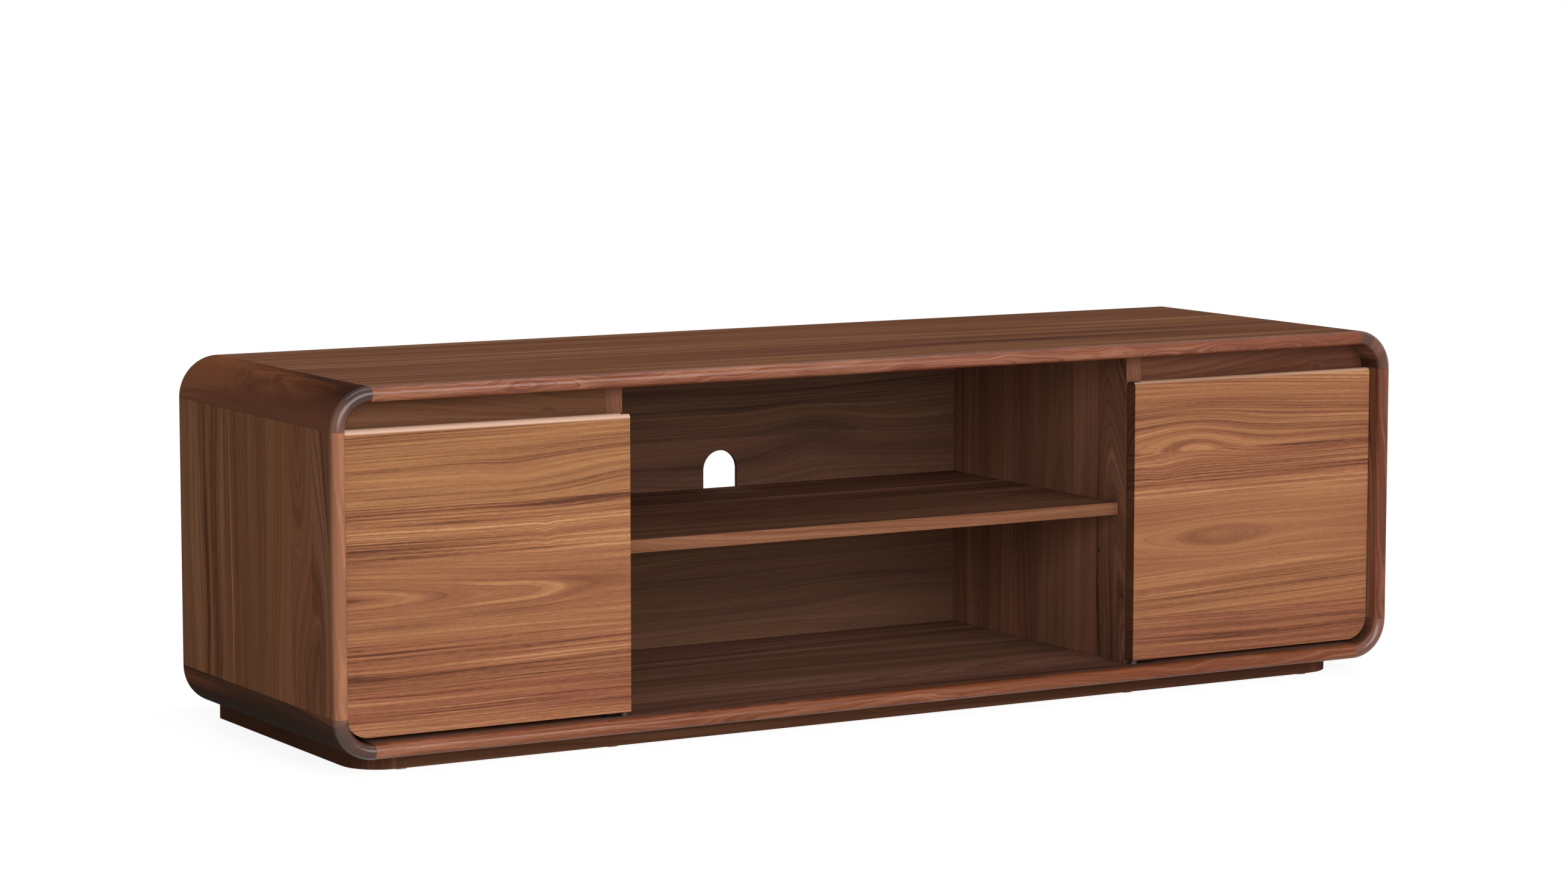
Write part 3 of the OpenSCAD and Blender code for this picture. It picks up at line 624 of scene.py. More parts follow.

# %% [markdown]
# One tree gives many browns, and a maker sorts the boards: paler wood for the doors,
# darker wood for the corner blocks, the back and the plinth. The back, the shelves and the
# plinth are darker still, which is painted shade for the deep bay and the space under the
# case. Each set runs from the darkest line to the palest wood.

# %% Sort the boards by tone
TOP_TONES = ("#4e2c1c", "#704731", "#7d5238", "#895d43", "#996e53")
SIDE_TONES = ("#563523", "#7a5036", "#875a3e", "#946548", "#a7795a")
CORNER_TONES = ("#160c08", "#341c12", "#4a2a1c", "#683d28", "#8c5739")
DOOR_TONES = ("#5c3a2b", "#84543b", "#966346", "#a5724e", "#bb8a62")
INSIDE_TONES = ("#4c3024", "#7b5540", "#8b6049", "#996c53", "#ad7f64")
# Painted shade: the back is darker than its wood, for the deep bay.
BACK_TONES_PAINTED_SHADE = ("#36251e", "#543b30", "#624435", "#6f4f3c", "#805d48")
HEADER_TONES = ("#3f271b", "#553625", "#61402d", "#6e4b36", "#805c45")
# Painted shade: the shelves are darker than their wood, for the bay they stand in.
SHELF_TONES_PAINTED_SHADE = ("#35221a", "#583c2c", "#674735", "#79543f", "#916950")
BOTTOM_TONES = ("#3b271e", "#664635", "#765341", "#89634f", "#a27b63")
# Painted shade: the plinth is darker than its wood, for the space under the case.
PLINTH_TONES_PAINTED_SHADE = ("#2c1a12", "#472d20", "#593a29", "#674632", "#75533c")
print("middle browns: doors", DOOR_TONES[2], "and corner blocks", CORNER_TONES[2])

# %% [markdown]
# The case starts with a top and a bottom board, each one section pushed along the width.
# Their grain runs along the cabinet, and their half-round front edges, the noses, are
# redder and carry dark streaks.

# %% The top and bottom boards


def centre_of(node):
    """The middle of a CAD node's box."""
    low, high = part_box(node)
    return (low + high) / 2


DEPTH = REAR - FRONT
STREAK_Y = -219 * MM                # where the streaks lie, just behind the front edge
ROUND_IN, ROUND_OUT = FRONT + 1.6 * NOSE, FRONT + 0.5 * NOSE
top_wood = walnut("walnut_top_staves_oiled", X, Y, centre_of("top_panel"), DEPTH, TOP_TONES,
                  glued(-DEPTH / 2, DEPTH / 2, 95 * MM, seed=4, lie=0.2, slope=0.03),
                  coarse=1.5, fine=1.9, lines=0.6,
                  streaks=[(x, STREAK_Y, length, 0.010, 0.55) for x, length in
                           ((-0.40, 0.02), (-0.13, 0.02), (0.02, 0.03), (0.20, 0.05),
                            (0.37, 0.03), (0.50, 0.06), (0.64, 0.04))],
                  edges=[(Y, ROUND_IN, ROUND_OUT, 0.6, "#8c4126", 0.42, 0.04)])
section = board_section()
made = pushed([(p[1], TOP_UNDER + p[0]) for p in section], X, -FLAT_X, FLAT_X)
finished("top_board", made, "cabinet", "top_panel", top_wood)

bottom_wood = walnut("walnut_bottom_staves_oiled", X, Y, centre_of("bottom_panel"), DEPTH,
                     BOTTOM_TONES, glued(-DEPTH / 2, DEPTH / 2, 95 * MM, seed=7, slope=0.03),
                     fine=1.6, streaks=[(x, STREAK_Y, length, 0.014, dark) for x, length, dark in
                                        ((-0.05, 0.04, 0.4), (0.22, 0.05, 0.4),
                                         (0.45, 0.22, 0.5), (0.60, 0.04, 0.4))],
                     edges=[(Y, ROUND_IN, ROUND_OUT, 0.35, "#8c451c", 0.5, 0.02)])
made = pushed([(p[1], FLOOR - p[0]) for p in section], X, -FLAT_X, FLAT_X)
made = carved(made, grown("left_bottom_pivot"), grown("right_bottom_pivot"))
finished("bottom_board", made, "cabinet", "bottom_panel", bottom_wood)

# %% [markdown]
# The side boards have upright staves and the same section, pushed upwards. Their first
# stave, next to the nose, is darker and bolder than the rest.

# %% The side boards
# The left nose's pale tint is painted highlight where that nose faces the light; the right nose's
# red is the wood's own.
for side, way, tint in (("left", -1, "#d6906a"), ("right", 1, "#80422e")):
    node = side + "_side_panel"
    staves = [(-DEPTH / 2, -0.16, 0.03, 0.06, 0.02, 0.74, 0.35, 1.5)]
    staves += glued(-0.165, DEPTH / 2, 62 * MM, seed=12 + way, slope=0.03)
    wood = walnut("walnut_" + side + "_side_staves_oiled", Z, Y, centre_of(node), DEPTH,
                  SIDE_TONES, staves, coarse=1.4, fine=1.6, lines=0.5,
                  streaks=[(-0.13, -0.217, 0.05, 0.006, 0.5), (0.12, -0.221, 0.04, 0.006, 0.4)],
                  edges=[(Y, ROUND_IN, ROUND_OUT, 0.3, tint, 0.35, 0.018)])
    made = pushed([(way * (INNER_X + p[0]), p[1]) for p in section], Z, FLAT_LOW, FLAT_HIGH)
    finished(side + "_side_board", made, "cabinet", node, wood)

# %% [markdown]
# Four curved blocks join the boards. Each is cut from darker wood whose grain runs from
# front to back, which is why the seams show. The section is swept round a quarter turn;
# a bevel on a square corner would lose the nose.

# %% Sweep a section round a corner
CORNER_STEPS = 28


def swept(section, place, steps):
    """A bmesh of a closed section swept through `steps` positions; place(point, k) puts it."""
    made = bmesh.new()
    rings = []
    for k in range(steps + 1):
        rings.append([made.verts.new(place(p, k)) for p in section])
    for near, far in zip(rings, rings[1:]):
        for k in range(len(section)):
            n = (k + 1) % len(section)
            made.faces.new((near[k], near[n], far[n], far[k]))
    made.faces.new(rings[0])
    made.faces.new(rings[-1])
    bmesh.ops.recalc_face_normals(made, faces=made.faces)
    return made


def corner_place(way_x, way_z):
    """A function that puts a section point at step k round one of the four corners."""
    heart_x, heart_z = way_x * FLAT_X, (FLAT_HIGH if way_z > 0 else FLAT_LOW)

    def put(point, k):
        turn = math.radians(90 * k / CORNER_STEPS)
        radius = INNER_R + point[0]
        return Vector((heart_x + way_x * radius * math.cos(turn), point[1],
                       heart_z + way_z * radius * math.sin(turn)))

    return put


print("a corner block is swept in", CORNER_STEPS, "steps of",
      round(90 / CORNER_STEPS, 1), "degrees")

# %% [markdown]
# The two left blocks are the darkest wood of the cabinet, with near-black bands and
# streaks along the grain. The right ones match the header rails. The nose and the outer
# side of each block are each tinted towards a brown of their own.

# %% The curved corner blocks
# Name, way in X and Z, tones, and the tints of the nose and of the outer side
CORNERS = (("top_left", -1, 1, CORNER_TONES, "#2c1913", "#96604a"),
           ("top_right", 1, 1, HEADER_TONES, "#4e2b1f", "#80503d"),
           ("bottom_left", -1, -1, CORNER_TONES, "#553629", "#5b4436"),
           ("bottom_right", 1, -1, HEADER_TONES, "#85503f", "#80503d"))
for name, way_x, way_z, tones, tint, outside in CORNERS:
    node = name + "_corner"
    wood = walnut("walnut_" + name + "_block_oiled", Y, X, centre_of(node), 0.1, tones,
                  glued(-0.05, 0.05, 0.2, seed=20 + way_x + 3 * way_z, lie=0.05, slope=0.02),
                  bend=0.7, coarse=5.0, fine=1.6, lines=0.5, shine=0.02,
                  streaks=[(-0.10, -0.019 * way_x, 0.10, 0.007, 0.7),
                           (0.02, 0.012 * way_x, 0.03, 0.010, 0.5),
                           (-0.08, 0.021 * way_x, 0.12, 0.005, 0.7)],
                  edges=[(Y, ROUND_IN, ROUND_OUT, 0.8, tint, 0.5, 0.0),
                         (X, way_x * (OUTER_X - 22 * MM), way_x * OUTER_X, 0.0, outside,
                          0.5, 0.0)])
    made = swept(section, corner_place(way_x, way_z), CORNER_STEPS)
    finished(name + "_block", made, "cabinet", node, wood)

# %% [markdown]
# Inside stand two partitions with upright staves. Their front edges carry the hinges,
# so the flange mortises are cut with the hinge brackets themselves. Three rows of holes
# let the shelves move; the pins stand in the middle row.

# %% The partitions
ROW = 59 * MM                       # from one row of pin holes to the next
for side, way in (("left", -1), ("right", 1)):
    node = side + "_partition"
    staves = [(-DEPTH / 2, -0.19, 0.03, 0.15, 0.10, 0.80, 0.35, 1.6)]
    staves += glued(-0.140, DEPTH / 2, 70 * MM, seed=31 + way, slope=0.04)
    wood = walnut("walnut_" + side + "_partition_oiled", Z, Y, centre_of(node), DEPTH,
                  INSIDE_TONES, staves, fine=1.3, lines=0.5,
                  edges=[(Y, CARCASE_Y + 1 * MM, CARCASE_Y, 0.0, "#6b4432", 0.6, 0.0)])
    low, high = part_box(node)
    cutters = [grown(side + "_top_hinge_bracket")]
    for rise in (-ROW, ROW):
        for pins in ("centre_shelf_pins", "inner_shelf_pins"):
            cutters.append(grown(pins, shift=(0, 0, rise)))
    made = carved(block(low, high), *cutters)
    finished(node + "_board", made, "cabinet", node, wood)

# %% [markdown]
# A rail closes the top of each side compartment behind the finger gap. Its outer top
# corner follows the inside of the curved block.

# %% The header rails
for side, way in (("left", -1), ("right", 1)):
    node = side + "_header_rail"
    wood = walnut("walnut_" + side + "_header_oiled", X, Z, centre_of(node), 0.1, HEADER_TONES,
                  [(-0.05, 0.035, 0.03, 0.04 * way, 0.0, 1.0 - 0.06 * way, 0.35 - 0.2 * way, 0.8)],
                  fine=1.4, lines=0.5, figures=[(0.10, -0.006, 0.010, 0.005, 0.006)],
                  streaks=[(0.10, -0.006, 0.007, 0.003, 0.5)] if way < 0 else ())
    low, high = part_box(node)
    outline = [(way * PARTITION_X, low.z), (way * INNER_X, low.z)]
    for x, z in arc((FLAT_X, FLAT_HIGH), INNER_R, 0, 90, 12):
        outline.append((way * x, z))
    outline.append((way * PARTITION_X, high.z))
    finished(node + "_board", pushed(outline, Y, low.y, high.y), "cabinet", node,
             wood)

# %% [markdown]
# The shelves are plain boards with a notch under each end over every pin, so they
# cannot creep forward.

# %% The shelves


def notched(low, high, pins):
    """A shelf with a slot under its ends for the pins."""
    return carved(block(low, high), grown(pins, hair=0.5 * MM))


for node, pins, seed in (("centre_shelf", "centre_shelf_pins", 41),
                         ("left_inner_shelf", "inner_shelf_pins", 42),
                         ("right_inner_shelf", "inner_shelf_pins", 43)):
    low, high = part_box(node)
    # Their dark tones are painted shade for the bay; only the front edge, which faces out of it,
    # goes back towards a lighter brown.
    wood = walnut("walnut_" + node + "_oiled", X, Y, centre_of(node), DEPTH, SHELF_TONES_PAINTED_SHADE,
                  glued(-DEPTH / 2, DEPTH / 2, 95 * MM, seed=seed, slope=0.03), fine=1.4,
                  lines=0.5, edges=[(Y, low.y + 1 * MM, low.y, 0.0, "#925636", 0.25, 0.0)])
    finished(node + "_board", notched(low, high, pins), "cabinet", node, wood,
             ease=0.8 * MM)

# %% [markdown]
# The back is a thin panel of wide boards with the grain across, let into a rebate all
# round and screwed from behind. An upright slot in the middle lets cables through.

# %% The back panel
BACK_R = INNER_R + BACK_X - INNER_X


def rounded_box(low, high, radius, steps):
    """A rectangle's outline with four round corners."""
    points = []
    for cx, cz, start in ((high[0] - radius, high[1] - radius, 0),
                          (low[0] + radius, high[1] - radius, 90),
                          (low[0] + radius, low[1] + radius, 180),
                          (high[0] - radius, low[1] + radius, 270)):
        points.extend(arc((cx, cz), radius, start, start + 90, steps))
    return points


SLOT_W, SLOT_H = 50 * MM, 112 * MM  # the cable slot, half of it under the shelf
panel = pushed(rounded_box((-BACK_X, BACK_LOW), (BACK_X, BACK_HIGH), BACK_R, 12), Y, BACK_Y, REAR)
slot = pushed(rounded_box((-SLOT_W / 2, MIDDLE_Z - SLOT_H / 2),
                          (SLOT_W / 2, MIDDLE_Z + SLOT_H / 2), SLOT_W / 2 - 0.01 * MM, 16),
              Y, BACK_Y - 1 * MM, REAR + 1 * MM)
back_high = BACK_HIGH - BACK_LOW
# Its dark tones are painted shade for the deep bay.
back_wood = walnut("walnut_back_boards_oiled", X, Z, centre_of("back_panel"), back_high,
                   BACK_TONES_PAINTED_SHADE, glued(-back_high / 2, back_high / 2, 110 * MM, seed=52,
                                     slope=0.03, vary=0.07), fine=1.2, lines=0.5,
                   figures=[(0.14, 0.075, 0.07, 0.035, -0.016)],
                   streaks=[(0.15, 0.08, 0.05, 0.022, 0.3)])
finished("back_board", carved(panel, slot, grown("back_panel_screws")), "cabinet", "back_panel",
         back_wood)

# %% [markdown]
# The plinth keeps the case just off the floor: rails on all four sides, two curved
# blocks at the front corners and two rails across under the partitions. Its wood is dark,
# and darker still as painted shade under the case, with little figure, so one finish
# serves along the width and one along the depth.

# %% The plinth's rails
PLINTH_X = span("plinth_right_rail", X)[1]
PLINTH_T = PLINTH_X - span("plinth_right_rail", X)[0]
PLINTH_FLAT_X = span("plinth_front_rail", X)[1]
PLINTH_FLAT_Y = span("plinth_right_rail", Y)[0]
PLINTH_STAVE = glued(-0.05, 0.05, 0.2, seed=61, lie=0.05, slope=0.01)
plinth_wood = walnut("walnut_plinth_rails_oiled", X, Z, Vector((0, 0, 0)), 0.1, PLINTH_TONES_PAINTED_SHADE,
                     PLINTH_STAVE, bend=0.5, fine=1.0, lines=0.3)
plinth_side_wood = walnut("walnut_plinth_sides_oiled", Y, Z, Vector((0, 0, 0)), 0.1,
                          PLINTH_TONES_PAINTED_SHADE, PLINTH_STAVE, bend=0.5, fine=1.0, lines=0.3)
for node, wood in (("plinth_front_rail", plinth_wood), ("plinth_rear_rail", plinth_wood),
                   ("plinth_left_rail", plinth_side_wood),
                   ("plinth_right_rail", plinth_side_wood)):
    low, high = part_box(node)
    made = carved(block(low, high), grown("plinth_screws"))
    finished(node + "_board", made, "cabinet", node, wood, ease=0.5 * MM)

cross = bmesh.new()
for way in (-1, 1):
    low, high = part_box("plinth_cross_rails")
    mid = way * (BAY_X + PARTITION_X) / 2
    part = block((mid - PLINTH_T / 2, low.y, low.z), (mid + PLINTH_T / 2, high.y, high.z))
    scrap = bpy.data.meshes.new("part")
    part.to_mesh(scrap)
    part.free()
    cross.from_mesh(scrap)
    bpy.data.meshes.remove(scrap)
finished("plinth_cross_boards", carved(cross, grown("plinth_screws")), "cabinet",
         "plinth_cross_rails", plinth_side_wood, ease=0.5 * MM)

# %% [markdown]
# At the front the plinth turns its corners in two curved blocks, a plain rectangle swept
# round a quarter turn. At the rear its corners are square.

# %% The plinth's front blocks
PLINTH_STEPS = 20


def plinth_place(way):
    """A function that puts a section point at step k round a front corner of the plinth."""

    def put(point, k):
        turn = math.radians(90 * k / PLINTH_STEPS)
        return Vector((way * (PLINTH_FLAT_X + point[0] * math.sin(turn)),
                       PLINTH_FLAT_Y - point[0] * math.cos(turn), point[1]))

    return put


for side, way in (("left", -1), ("right", 1)):
    node = "plinth_" + side + "_corner"
    low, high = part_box(node)
    outer = high.x - PLINTH_FLAT_X if way > 0 else -low.x - PLINTH_FLAT_X
    section = box_outline((outer - PLINTH_T, low.z), (outer, high.z))
    made = swept(section, plinth_place(way), PLINTH_STEPS)
    finished(node + "_block", made, "cabinet", node, plinth_side_wood,
             ease=0.5 * MM)

# %% [markdown]
# The doors are solid panels. The front of the top edge is rounded and the back of it
# bevelled, which makes the finger pull, and the lower outer corner follows the round
# corner of the case. The rounds are cut on the blank's own edges, as a router would.

# %% Shape a door
DOOR_R = INNER_R - 2 * MM           # concentric with the case, 2 mm inside it
PULL_ROUND, PULL_BEVEL, BACK_ROUND = 6 * MM, 8 * MM, 1.5 * MM


def edge_between(made, test):
    """The edges of a bmesh whose two ends both pass the test."""
    return [e for e in made.edges if all(test(v.co) for v in e.verts)]


def close(a, b):
    """Whether two lengths agree to a hundredth of a millimetre."""
    return abs(a - b) < 0.01 * MM


def door_blank(way, low, high):
    """One door: its outline, the rounded and bevelled top edge, and the hinge edge."""
    inner, outer = (low.x, high.x) if way > 0 else (high.x, low.x)
    outline = [(inner, low.z)]
    for x, z in arc((abs(outer) - DOOR_R, low.z + DOOR_R), DOOR_R, -90, 0, 16):
        outline.append((way * x, z))
    outline += [(outer, high.z), (inner, high.z)]
    made = pushed(outline, Y, low.y, high.y)
    front_top = edge_between(made, lambda c: close(c.z, high.z) and close(c.y, low.y))
    bmesh.ops.bevel(made, geom=front_top, offset=PULL_ROUND, segments=10, profile=0.5,
                    affect="EDGES")
    back_top = edge_between(made, lambda c: close(c.z, high.z) and close(c.y, high.y))
    bmesh.ops.bevel(made, geom=back_top, offset=PULL_BEVEL, segments=1, affect="EDGES")
    hinge = edge_between(made, lambda c: close(c.x, inner) and close(c.y, high.y))
    bmesh.ops.bevel(made, geom=hinge, offset=BACK_ROUND, segments=4, profile=0.5,
                    affect="EDGES")
    return made


print("a door's outer corner has a radius of", round(DOOR_R / MM, 1), "mm")

# %% [markdown]
# The doors are what the eye rests on, so their staves are laid out one by one and not by
# dice: which stave is pale or red, where its arches stand, and where a knot, a swirl or a
# dark streak lies.

# %% Lay out the doors' grain
# Each door's staves from the bottom up, as glued() lists them
LEFT_STAVES = [(-0.190, -0.42, 0.05, 0.03, 0.00, 0.92, 0.25, 1.15),
               (-0.128, 0.16, 0.04, 0.05, 0.00, 0.98, 0.42, 1.05),
               (-0.071, -0.020, 0.030, 0.02, 0.00, 0.96, 0.50, 0.85),
               (0.023, -0.24, 0.03, 0.03, 0.00, 1.02, 0.58, 1.20),
               (0.084, 0.00, 0.040, 0.03, 0.02, 1.06, 0.80, 0.80)]
RIGHT_STAVES = [(-0.190, -0.40, 0.05, 0.03, 0.00, 0.93, 0.34, 1.00),
                (-0.124, 0.22, 0.04, 0.04, 0.03, 1.05, 0.60, 0.85),
                (-0.064, -0.028, 0.045, 0.01, 0.00, 0.99, 0.50, 0.55),
                (0.028, -0.26, 0.03, 0.03, 0.02, 0.96, 0.40, 1.15),
                (0.085, 0.072, 0.030, -0.04, -0.05, 1.01, 0.55, 0.85)]
LEFT_FIGURES = [(0.074, 0.043, 0.008, 0.016, 0.0025), (0.030, 0.118, 0.050, 0.025, 0.004),
                (0.190, 0.110, 0.080, 0.035, -0.012), (0.060, -0.024, 0.060, 0.020, -0.003)]
RIGHT_FIGURES = [(-0.090, 0.102, 0.080, 0.032, -0.013), (-0.055, -0.028, 0.070, 0.020, -0.007),
                 (-0.140, 0.060, 0.020, 0.012, 0.003)]
LEFT_STREAKS = [(-0.048, 0.064, 0.050, 0.0016, 0.8), (-0.170, -0.018, 0.020, 0.0015, 0.6),
                (0.060, 0.027, 0.040, 0.0012, 0.6), (0.020, -0.045, 0.060, 0.005, 0.3),
                (-0.100, -0.052, 0.050, 0.006, 0.3), (0.130, -0.012, 0.050, 0.004, 0.3)]
RIGHT_STREAKS = [(-0.055, -0.028, 0.060, 0.008, 0.35), (-0.080, -0.140, 0.080, 0.003, 0.5)]
# Staves, figures, streaks, how pale the painted highlight along the top is, and its width in mm
DOOR_FIGURE = {"left": (LEFT_STAVES, LEFT_FIGURES, LEFT_STREAKS, 0.75, 6.5),
               "right": (RIGHT_STAVES, RIGHT_FIGURES, RIGHT_STREAKS, 0.4, 4.0)}

print("staves in a door:", len(LEFT_STAVES), "on the left and", len(RIGHT_STAVES), "on the right")

# %% [markdown]
# Each door is one blank. A notch at the top of the hinge edge takes the ear of the hinge
# bracket, and the bushes that the hinge pins turn in are let in top and bottom. The door
# rides on a body of its own, so that it can swing.

# %% The doors
# The notch for the hinge's ear: its width, its depth from the top, its start in the face
NOTCH_W, NOTCH_DEEP, NOTCH_IN = 10.8 * MM, 4.8 * MM, 3.2 * MM
for side, way in (("left", -1), ("right", 1)):
    node = side + "_door"
    low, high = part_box(node)
    staves, figures, streaks, pale, highlight_mm = DOOR_FIGURE[side]
    edge = way * BAY_X
    wood = walnut("walnut_" + side + "_door_oiled", X, Z, centre_of(node), high.z - low.z,
                  DOOR_TONES, staves, bend=0.5, fine=2.1, ring=3.6 * MM, lines=0.85,
                  figures=figures, streaks=streaks,
                  # The pale strip along the top is a painted highlight where the rounded finger
                  # pull catches the light.
                  edges=[(Z, high.z - highlight_mm * MM, high.z - (highlight_mm - 2) * MM, 0.4, "#e0bba4",
                          pale, 0.0),
                         # The hinge edge goes dark: its end grain is darker, and the rest is
                         # painted shade where it faces the partition across a narrow gap.
                         (X, edge + way * 0.4 * MM, edge, 0.0, "#3a2218", 0.7, 0.0)])
    inside = edge + way * NOTCH_W
    notch = block((min(edge - way * MM, inside), low.y + NOTCH_IN, high.z - NOTCH_DEEP),
                  (max(edge - way * MM, inside), high.y + MM, high.z + MM))
    made = carved(door_blank(way, low, high), notch, grown(side + "_hinge_bushes"))
    finished(node + "_board", made, node, node, wood, ease=0.7 * MM)

# %% [markdown]
# The fittings keep their CAD meshes, which have their true shapes, and get their own
# finishes. Nickel plate is a soft, pale mirror, and fine scratches break up its gloss.
# Real scratches are far finer than half a millimetre; they are drawn as coarse as they
# need to be to show.

# %% Nickelled steel
SCRATCH_DEPTH = 0.05 * MM


def metal(name, colour, rough, grain_mm):
    """A plated metal with fine scratches that vary its gloss."""
    material, tree, surface = new_material(name)
    place = add(tree, "TexCoord").outputs["Object"]
    marks = add(tree, "TexNoise", {"Vector": place, "Scale": 1000 / grain_mm, "Detail": 3.0})
    rough_by = add(tree, "MapRange", {0: marks.outputs[0], 1: 0.3, 2: 0.7, 3: rough - 0.06,
                                      4: rough + 0.08})
    shade = add(tree, "MapRange", {0: marks.outputs[0], 1: 0.3, 2: 0.7, 3: 0.9, 4: 1.05})
    tint = add(tree, "VectorMath", {0: linear(colour)[:3], "Scale": shade.outputs[0]},
               operation="SCALE")
    relief = add(tree, "Bump", {"Height": marks.outputs[0], "Strength": 0.15,
                                "Distance": SCRATCH_DEPTH})
    surface.inputs["Metallic"].default_value = 1.0
    tree.links.new(tint.outputs[0], surface.inputs["Base Color"])
    tree.links.new(rough_by.outputs[0], surface.inputs["Roughness"])
    tree.links.new(relief.outputs[0], surface.inputs["Normal"])
    return material


nickel = metal("nickelled_steel", "#b9b6ae", 0.3, 0.5)
print("finish:", nickel.name)

# %% [markdown]
# The other finishes are dull, and a mottle of their own size tells them apart. Brown
# lacquer hides the steel of the hinges and evens it out; its brown is made near black as
# painted shade, so the bracket in its notch and the pins under the doors read as the dark
# gaps round them. A sintered magnet is grey and slightly grainy. Moulded nylon is even and
# nearly black. The end grain of beech is pale and speckled, and wool felt is soft enough
# to swallow the light.

# %% Lacquer, magnet, nylon, beech and felt


def matt(name, dark, pale, grain_mm, rough, depth_mm):
    """A dull solid with a fine mottle, from dark to pale."""
    material, tree, surface = new_material(name)
    place = add(tree, "TexCoord").outputs["Object"]
    mottle = add(tree, "TexNoise", {"Vector": place, "Scale": 1000 / grain_mm, "Detail": 4.0})
    colour = ramp(tree, mottle.outputs[0], [(0.35, linear(dark)), (0.65, linear(pale))])[0]
    relief = add(tree, "Bump", {"Height": mottle.outputs[0], "Strength": 0.5,
                                "Distance": depth_mm * MM})
    surface.inputs["Roughness"].default_value = rough
    tree.links.new(colour, surface.inputs["Base Color"])
    tree.links.new(relief.outputs[0], surface.inputs["Normal"])
    return material


# The lacquer's near-black brown is painted shade for the fittings in the dark gaps.
brown = matt("brown_lacquered_steel", "#33241b", "#3d2b21", 0.9, 0.55, 0.02)
magnet = matt("sintered_magnet", "#4b4a4c", "#67666a", 0.4, 0.5, 0.02)
plastic = matt("black_moulded_nylon", "#1c1c1d", "#29292b", 0.5, 0.55, 0.03)
beech = matt("beech_dowel_wood", "#b08b60", "#d0ae80", 1.2, 0.65, 0.03)
felt = matt("wool_felt", "#a39c90", "#bdb6aa", 0.8, 0.95, 0.3)
print("finishes:", [finish.name for finish in (brown, magnet, plastic, beech, felt)])

# %% [markdown]
# A fitting needs no new mesh: its finish takes the place of the plain material that the
# CAD mesh came with.

# %% Dress the fittings
FITTINGS = (
    (brown, ["left_top_hinge_bracket", "right_top_hinge_bracket", "left_top_hinge_pin",
             "right_top_hinge_pin", "left_bottom_pivot", "right_bottom_pivot",
             "left_hinge_bushes", "right_hinge_bushes", "hinge_screws"]),
    (nickel, ["centre_shelf_pins", "inner_shelf_pins", "back_panel_screws", "plinth_screws",
              "catch_screws", "left_strike_plate", "right_strike_plate", "left_strike_screw",
              "right_strike_screw"]),
    (magnet, ["catch_magnets"]),
    (plastic, ["left_catch_housing", "right_catch_housing"]),
    (beech, ["corner_splines", "partition_dowels", "rail_dowels", "plinth_splines"]),
    (felt, ["floor_pads"]),
)
for finish, nodes in FITTINGS:
    for node in nodes:
        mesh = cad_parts[node].data
        mesh.materials.clear()
        mesh.materials.append(finish)
    print(finish.name, "on", len(nodes), "nodes")

# %% [markdown]
# The studio is a wide pale floor that runs into a white background. What the lens sees
# of the floor and the world is white by itself; Light Path keeps that white out of the
# light that falls on the wood, and the floor still takes the cabinet's shadow. More
# light on a grey floor would look white too, but it would bleach the wood.

# %% What the lens sees as white


def white_for_lens(tree):
    """1 where a ray from the lens, a reflection or a clear material looks at the backdrop."""
    path = add(tree, "LightPath").outputs
    seen = add(tree, "Math", {0: path["Is Camera Ray"], 1: path["Is Glossy Ray"]},
               operation="MAXIMUM").outputs[0]
    return add(tree, "Math", {0: seen, 1: path["Is Transmission Ray"]},
               operation="MAXIMUM").outputs[0]


print("the lamps meet a pale grey floor, and the lens a white one")

# %% [markdown]
# The floor is a plane of matt board. Near the cabinet the lens sees its shadow as a thin
# grey veil over white, and further out only white, so that no edge of the floor shows.

# %% The floor
FLOOR_HALF = 9.0                    # from the middle of the floor to its edge
SHADOW_FADES, SHADOW_GONE = 1.1, 1.9  # distances from the cabinet's foot


def floor_finish():
    """A pale floor: matt for the light, and for the lens white with the cabinet's shadow."""
    material = bpy.data.materials.new("studio_floor")
    material.use_nodes = True
    tree = material.node_tree
    tree.nodes.clear()
    plain = add(tree, "BsdfDiffuse", {"Color": linear("#d8d6d2")}).outputs[0]
    veil = add(tree, "BsdfDiffuse", {"Color": linear("#878787")}).outputs[0]
    white = add(tree, "Emission", {"Color": linear("#ffffff"), "Strength": 0.9}).outputs[0]
    near = add(tree, "AddShader", {0: veil, 1: white}).outputs[0]
    far = add(tree, "Emission", {"Color": linear("#ffffff"), "Strength": 1.0}).outputs[0]
    place = add(tree, "TexCoord").outputs["Object"]
    away = add(tree, "VectorMath", {0: place}, operation="LENGTH").outputs["Value"]
    fade = add(tree, "MapRange", {0: away, 1: SHADOW_FADES, 2: SHADOW_GONE},
               interpolation_type="SMOOTHSTEP")
    shown = add(tree, "MixShader", {0: fade.outputs[0], 1: near, 2: far}).outputs[0]
    mixed = add(tree, "MixShader", {0: white_for_lens(tree), 1: plain, 2: shown}).outputs[0]
    add(tree, "OutputMaterial", {"Surface": mixed})
    return material


floor_mesh = bmesh.new()
bmesh.ops.create_grid(floor_mesh, x_segments=1, y_segments=1, size=FLOOR_HALF)
mesh = bpy.data.meshes.new("studio_floor")
floor_mesh.to_mesh(mesh)
floor_mesh.free()
floor = bpy.data.objects.new("studio_floor", mesh)
bpy.context.scene.collection.objects.link(floor)
mesh.materials.append(floor_finish())
print("the floor is", 2 * FLOOR_HALF, "m wide")

# %% [markdown]
# The world is the tent round the studio. It fills the shadows with a little even light,
# and the lens sees it as plain white.

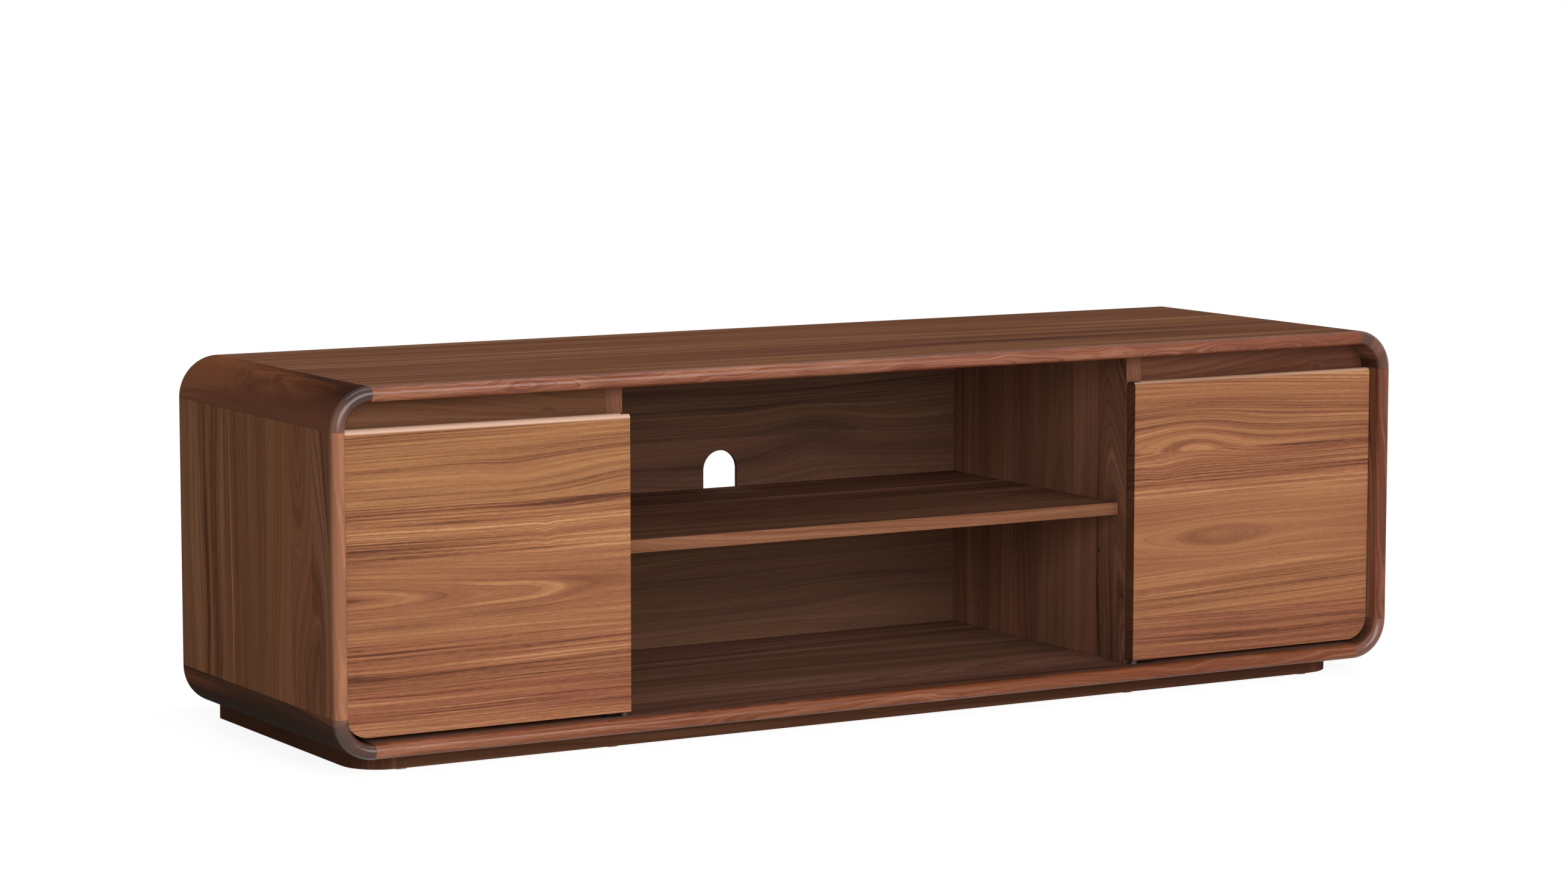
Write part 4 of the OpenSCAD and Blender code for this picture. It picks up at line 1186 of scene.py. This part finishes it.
# %% The world
WORLD_FILL = 0.12
world = bpy.data.worlds.new("studio")
bpy.context.scene.world = world
world.use_nodes = True
tree = world.node_tree
tree.nodes.clear()
fill = add(tree, "Background", {"Color": linear("#ffffff"), "Strength": WORLD_FILL}).outputs[0]
white = add(tree, "Background", {"Color": linear("#ffffff"), "Strength": 1.0}).outputs[0]
mixed = add(tree, "MixShader", {0: white_for_lens(tree), 1: fill, 2: white}).outputs[0]
add(tree, "OutputWorld", {"Surface": mixed})
print("fill light of the world:", WORLD_FILL)

# %% [markdown]
# The light: one big soft lamp in front, a narrow one overhead that draws the shine along
# the noses, a faint fill from the left, and a weak lamp behind that lights the back and
# adds no shine. Big lamps give the soft shadows of a studio tent.

# %% Lamps


def lamp(name, place, target, size, power):
    """A soft rectangular lamp that faces a point."""
    light = bpy.data.lights.new(name, "AREA")
    light.shape = "RECTANGLE"
    light.size, light.size_y = size
    light.energy = power
    made = bpy.data.objects.new(name, light)
    bpy.context.scene.collection.objects.link(made)
    made.location = place
    made.rotation_euler = (Vector(target) - Vector(place)).to_track_quat("-Z", "Y").to_euler()
    return made


lamp("front_softbox", (-0.2, -4.2, 1.5), (0, 0, 0.25), (5.4, 2.3), 215)
lamp("overhead_softbox", (0.0, -0.3, 2.8), (0, 0, 0.3), (3.4, 0.16), 21)
lamp("left_fill", (-4.0, -0.8, 1.4), (0, 0, 0.25), (2.0, 2.0), 5)
rear = lamp("rear_fill", (-0.3, 3.6, 1.6), (0, 0, 0.2), (1.4, 1.4), 28)
rear.visible_glossy = False
print("lamps:", [light.name for light in bpy.data.lights])

# %% [markdown]
# The camera stands well back, left of the cabinet and a little above it, with a long
# lens, so the upright edges stay nearly parallel.

# %% Camera
LENS_MM, SENSOR_MM = 98.73, 36.0
DOWN, TO_THE_RIGHT = 0.1144, 0.5284         # how far the camera is turned, in radians
camera_data = bpy.data.cameras.new("camera")
camera = bpy.data.objects.new("camera", camera_data)
bpy.context.scene.collection.objects.link(camera)
camera_data.sensor_width = SENSOR_MM
camera_data.lens = LENS_MM
camera.location = (-2.7316, -4.6250, 0.9431)
camera.rotation_euler = (math.pi / 2 - DOWN, 0.0, -TO_THE_RIGHT)
bpy.context.scene.camera = camera
bpy.context.scene.view_settings.view_transform = "Standard"
print("camera at", round(camera.location.length, 2), "m from the cabinet's foot")
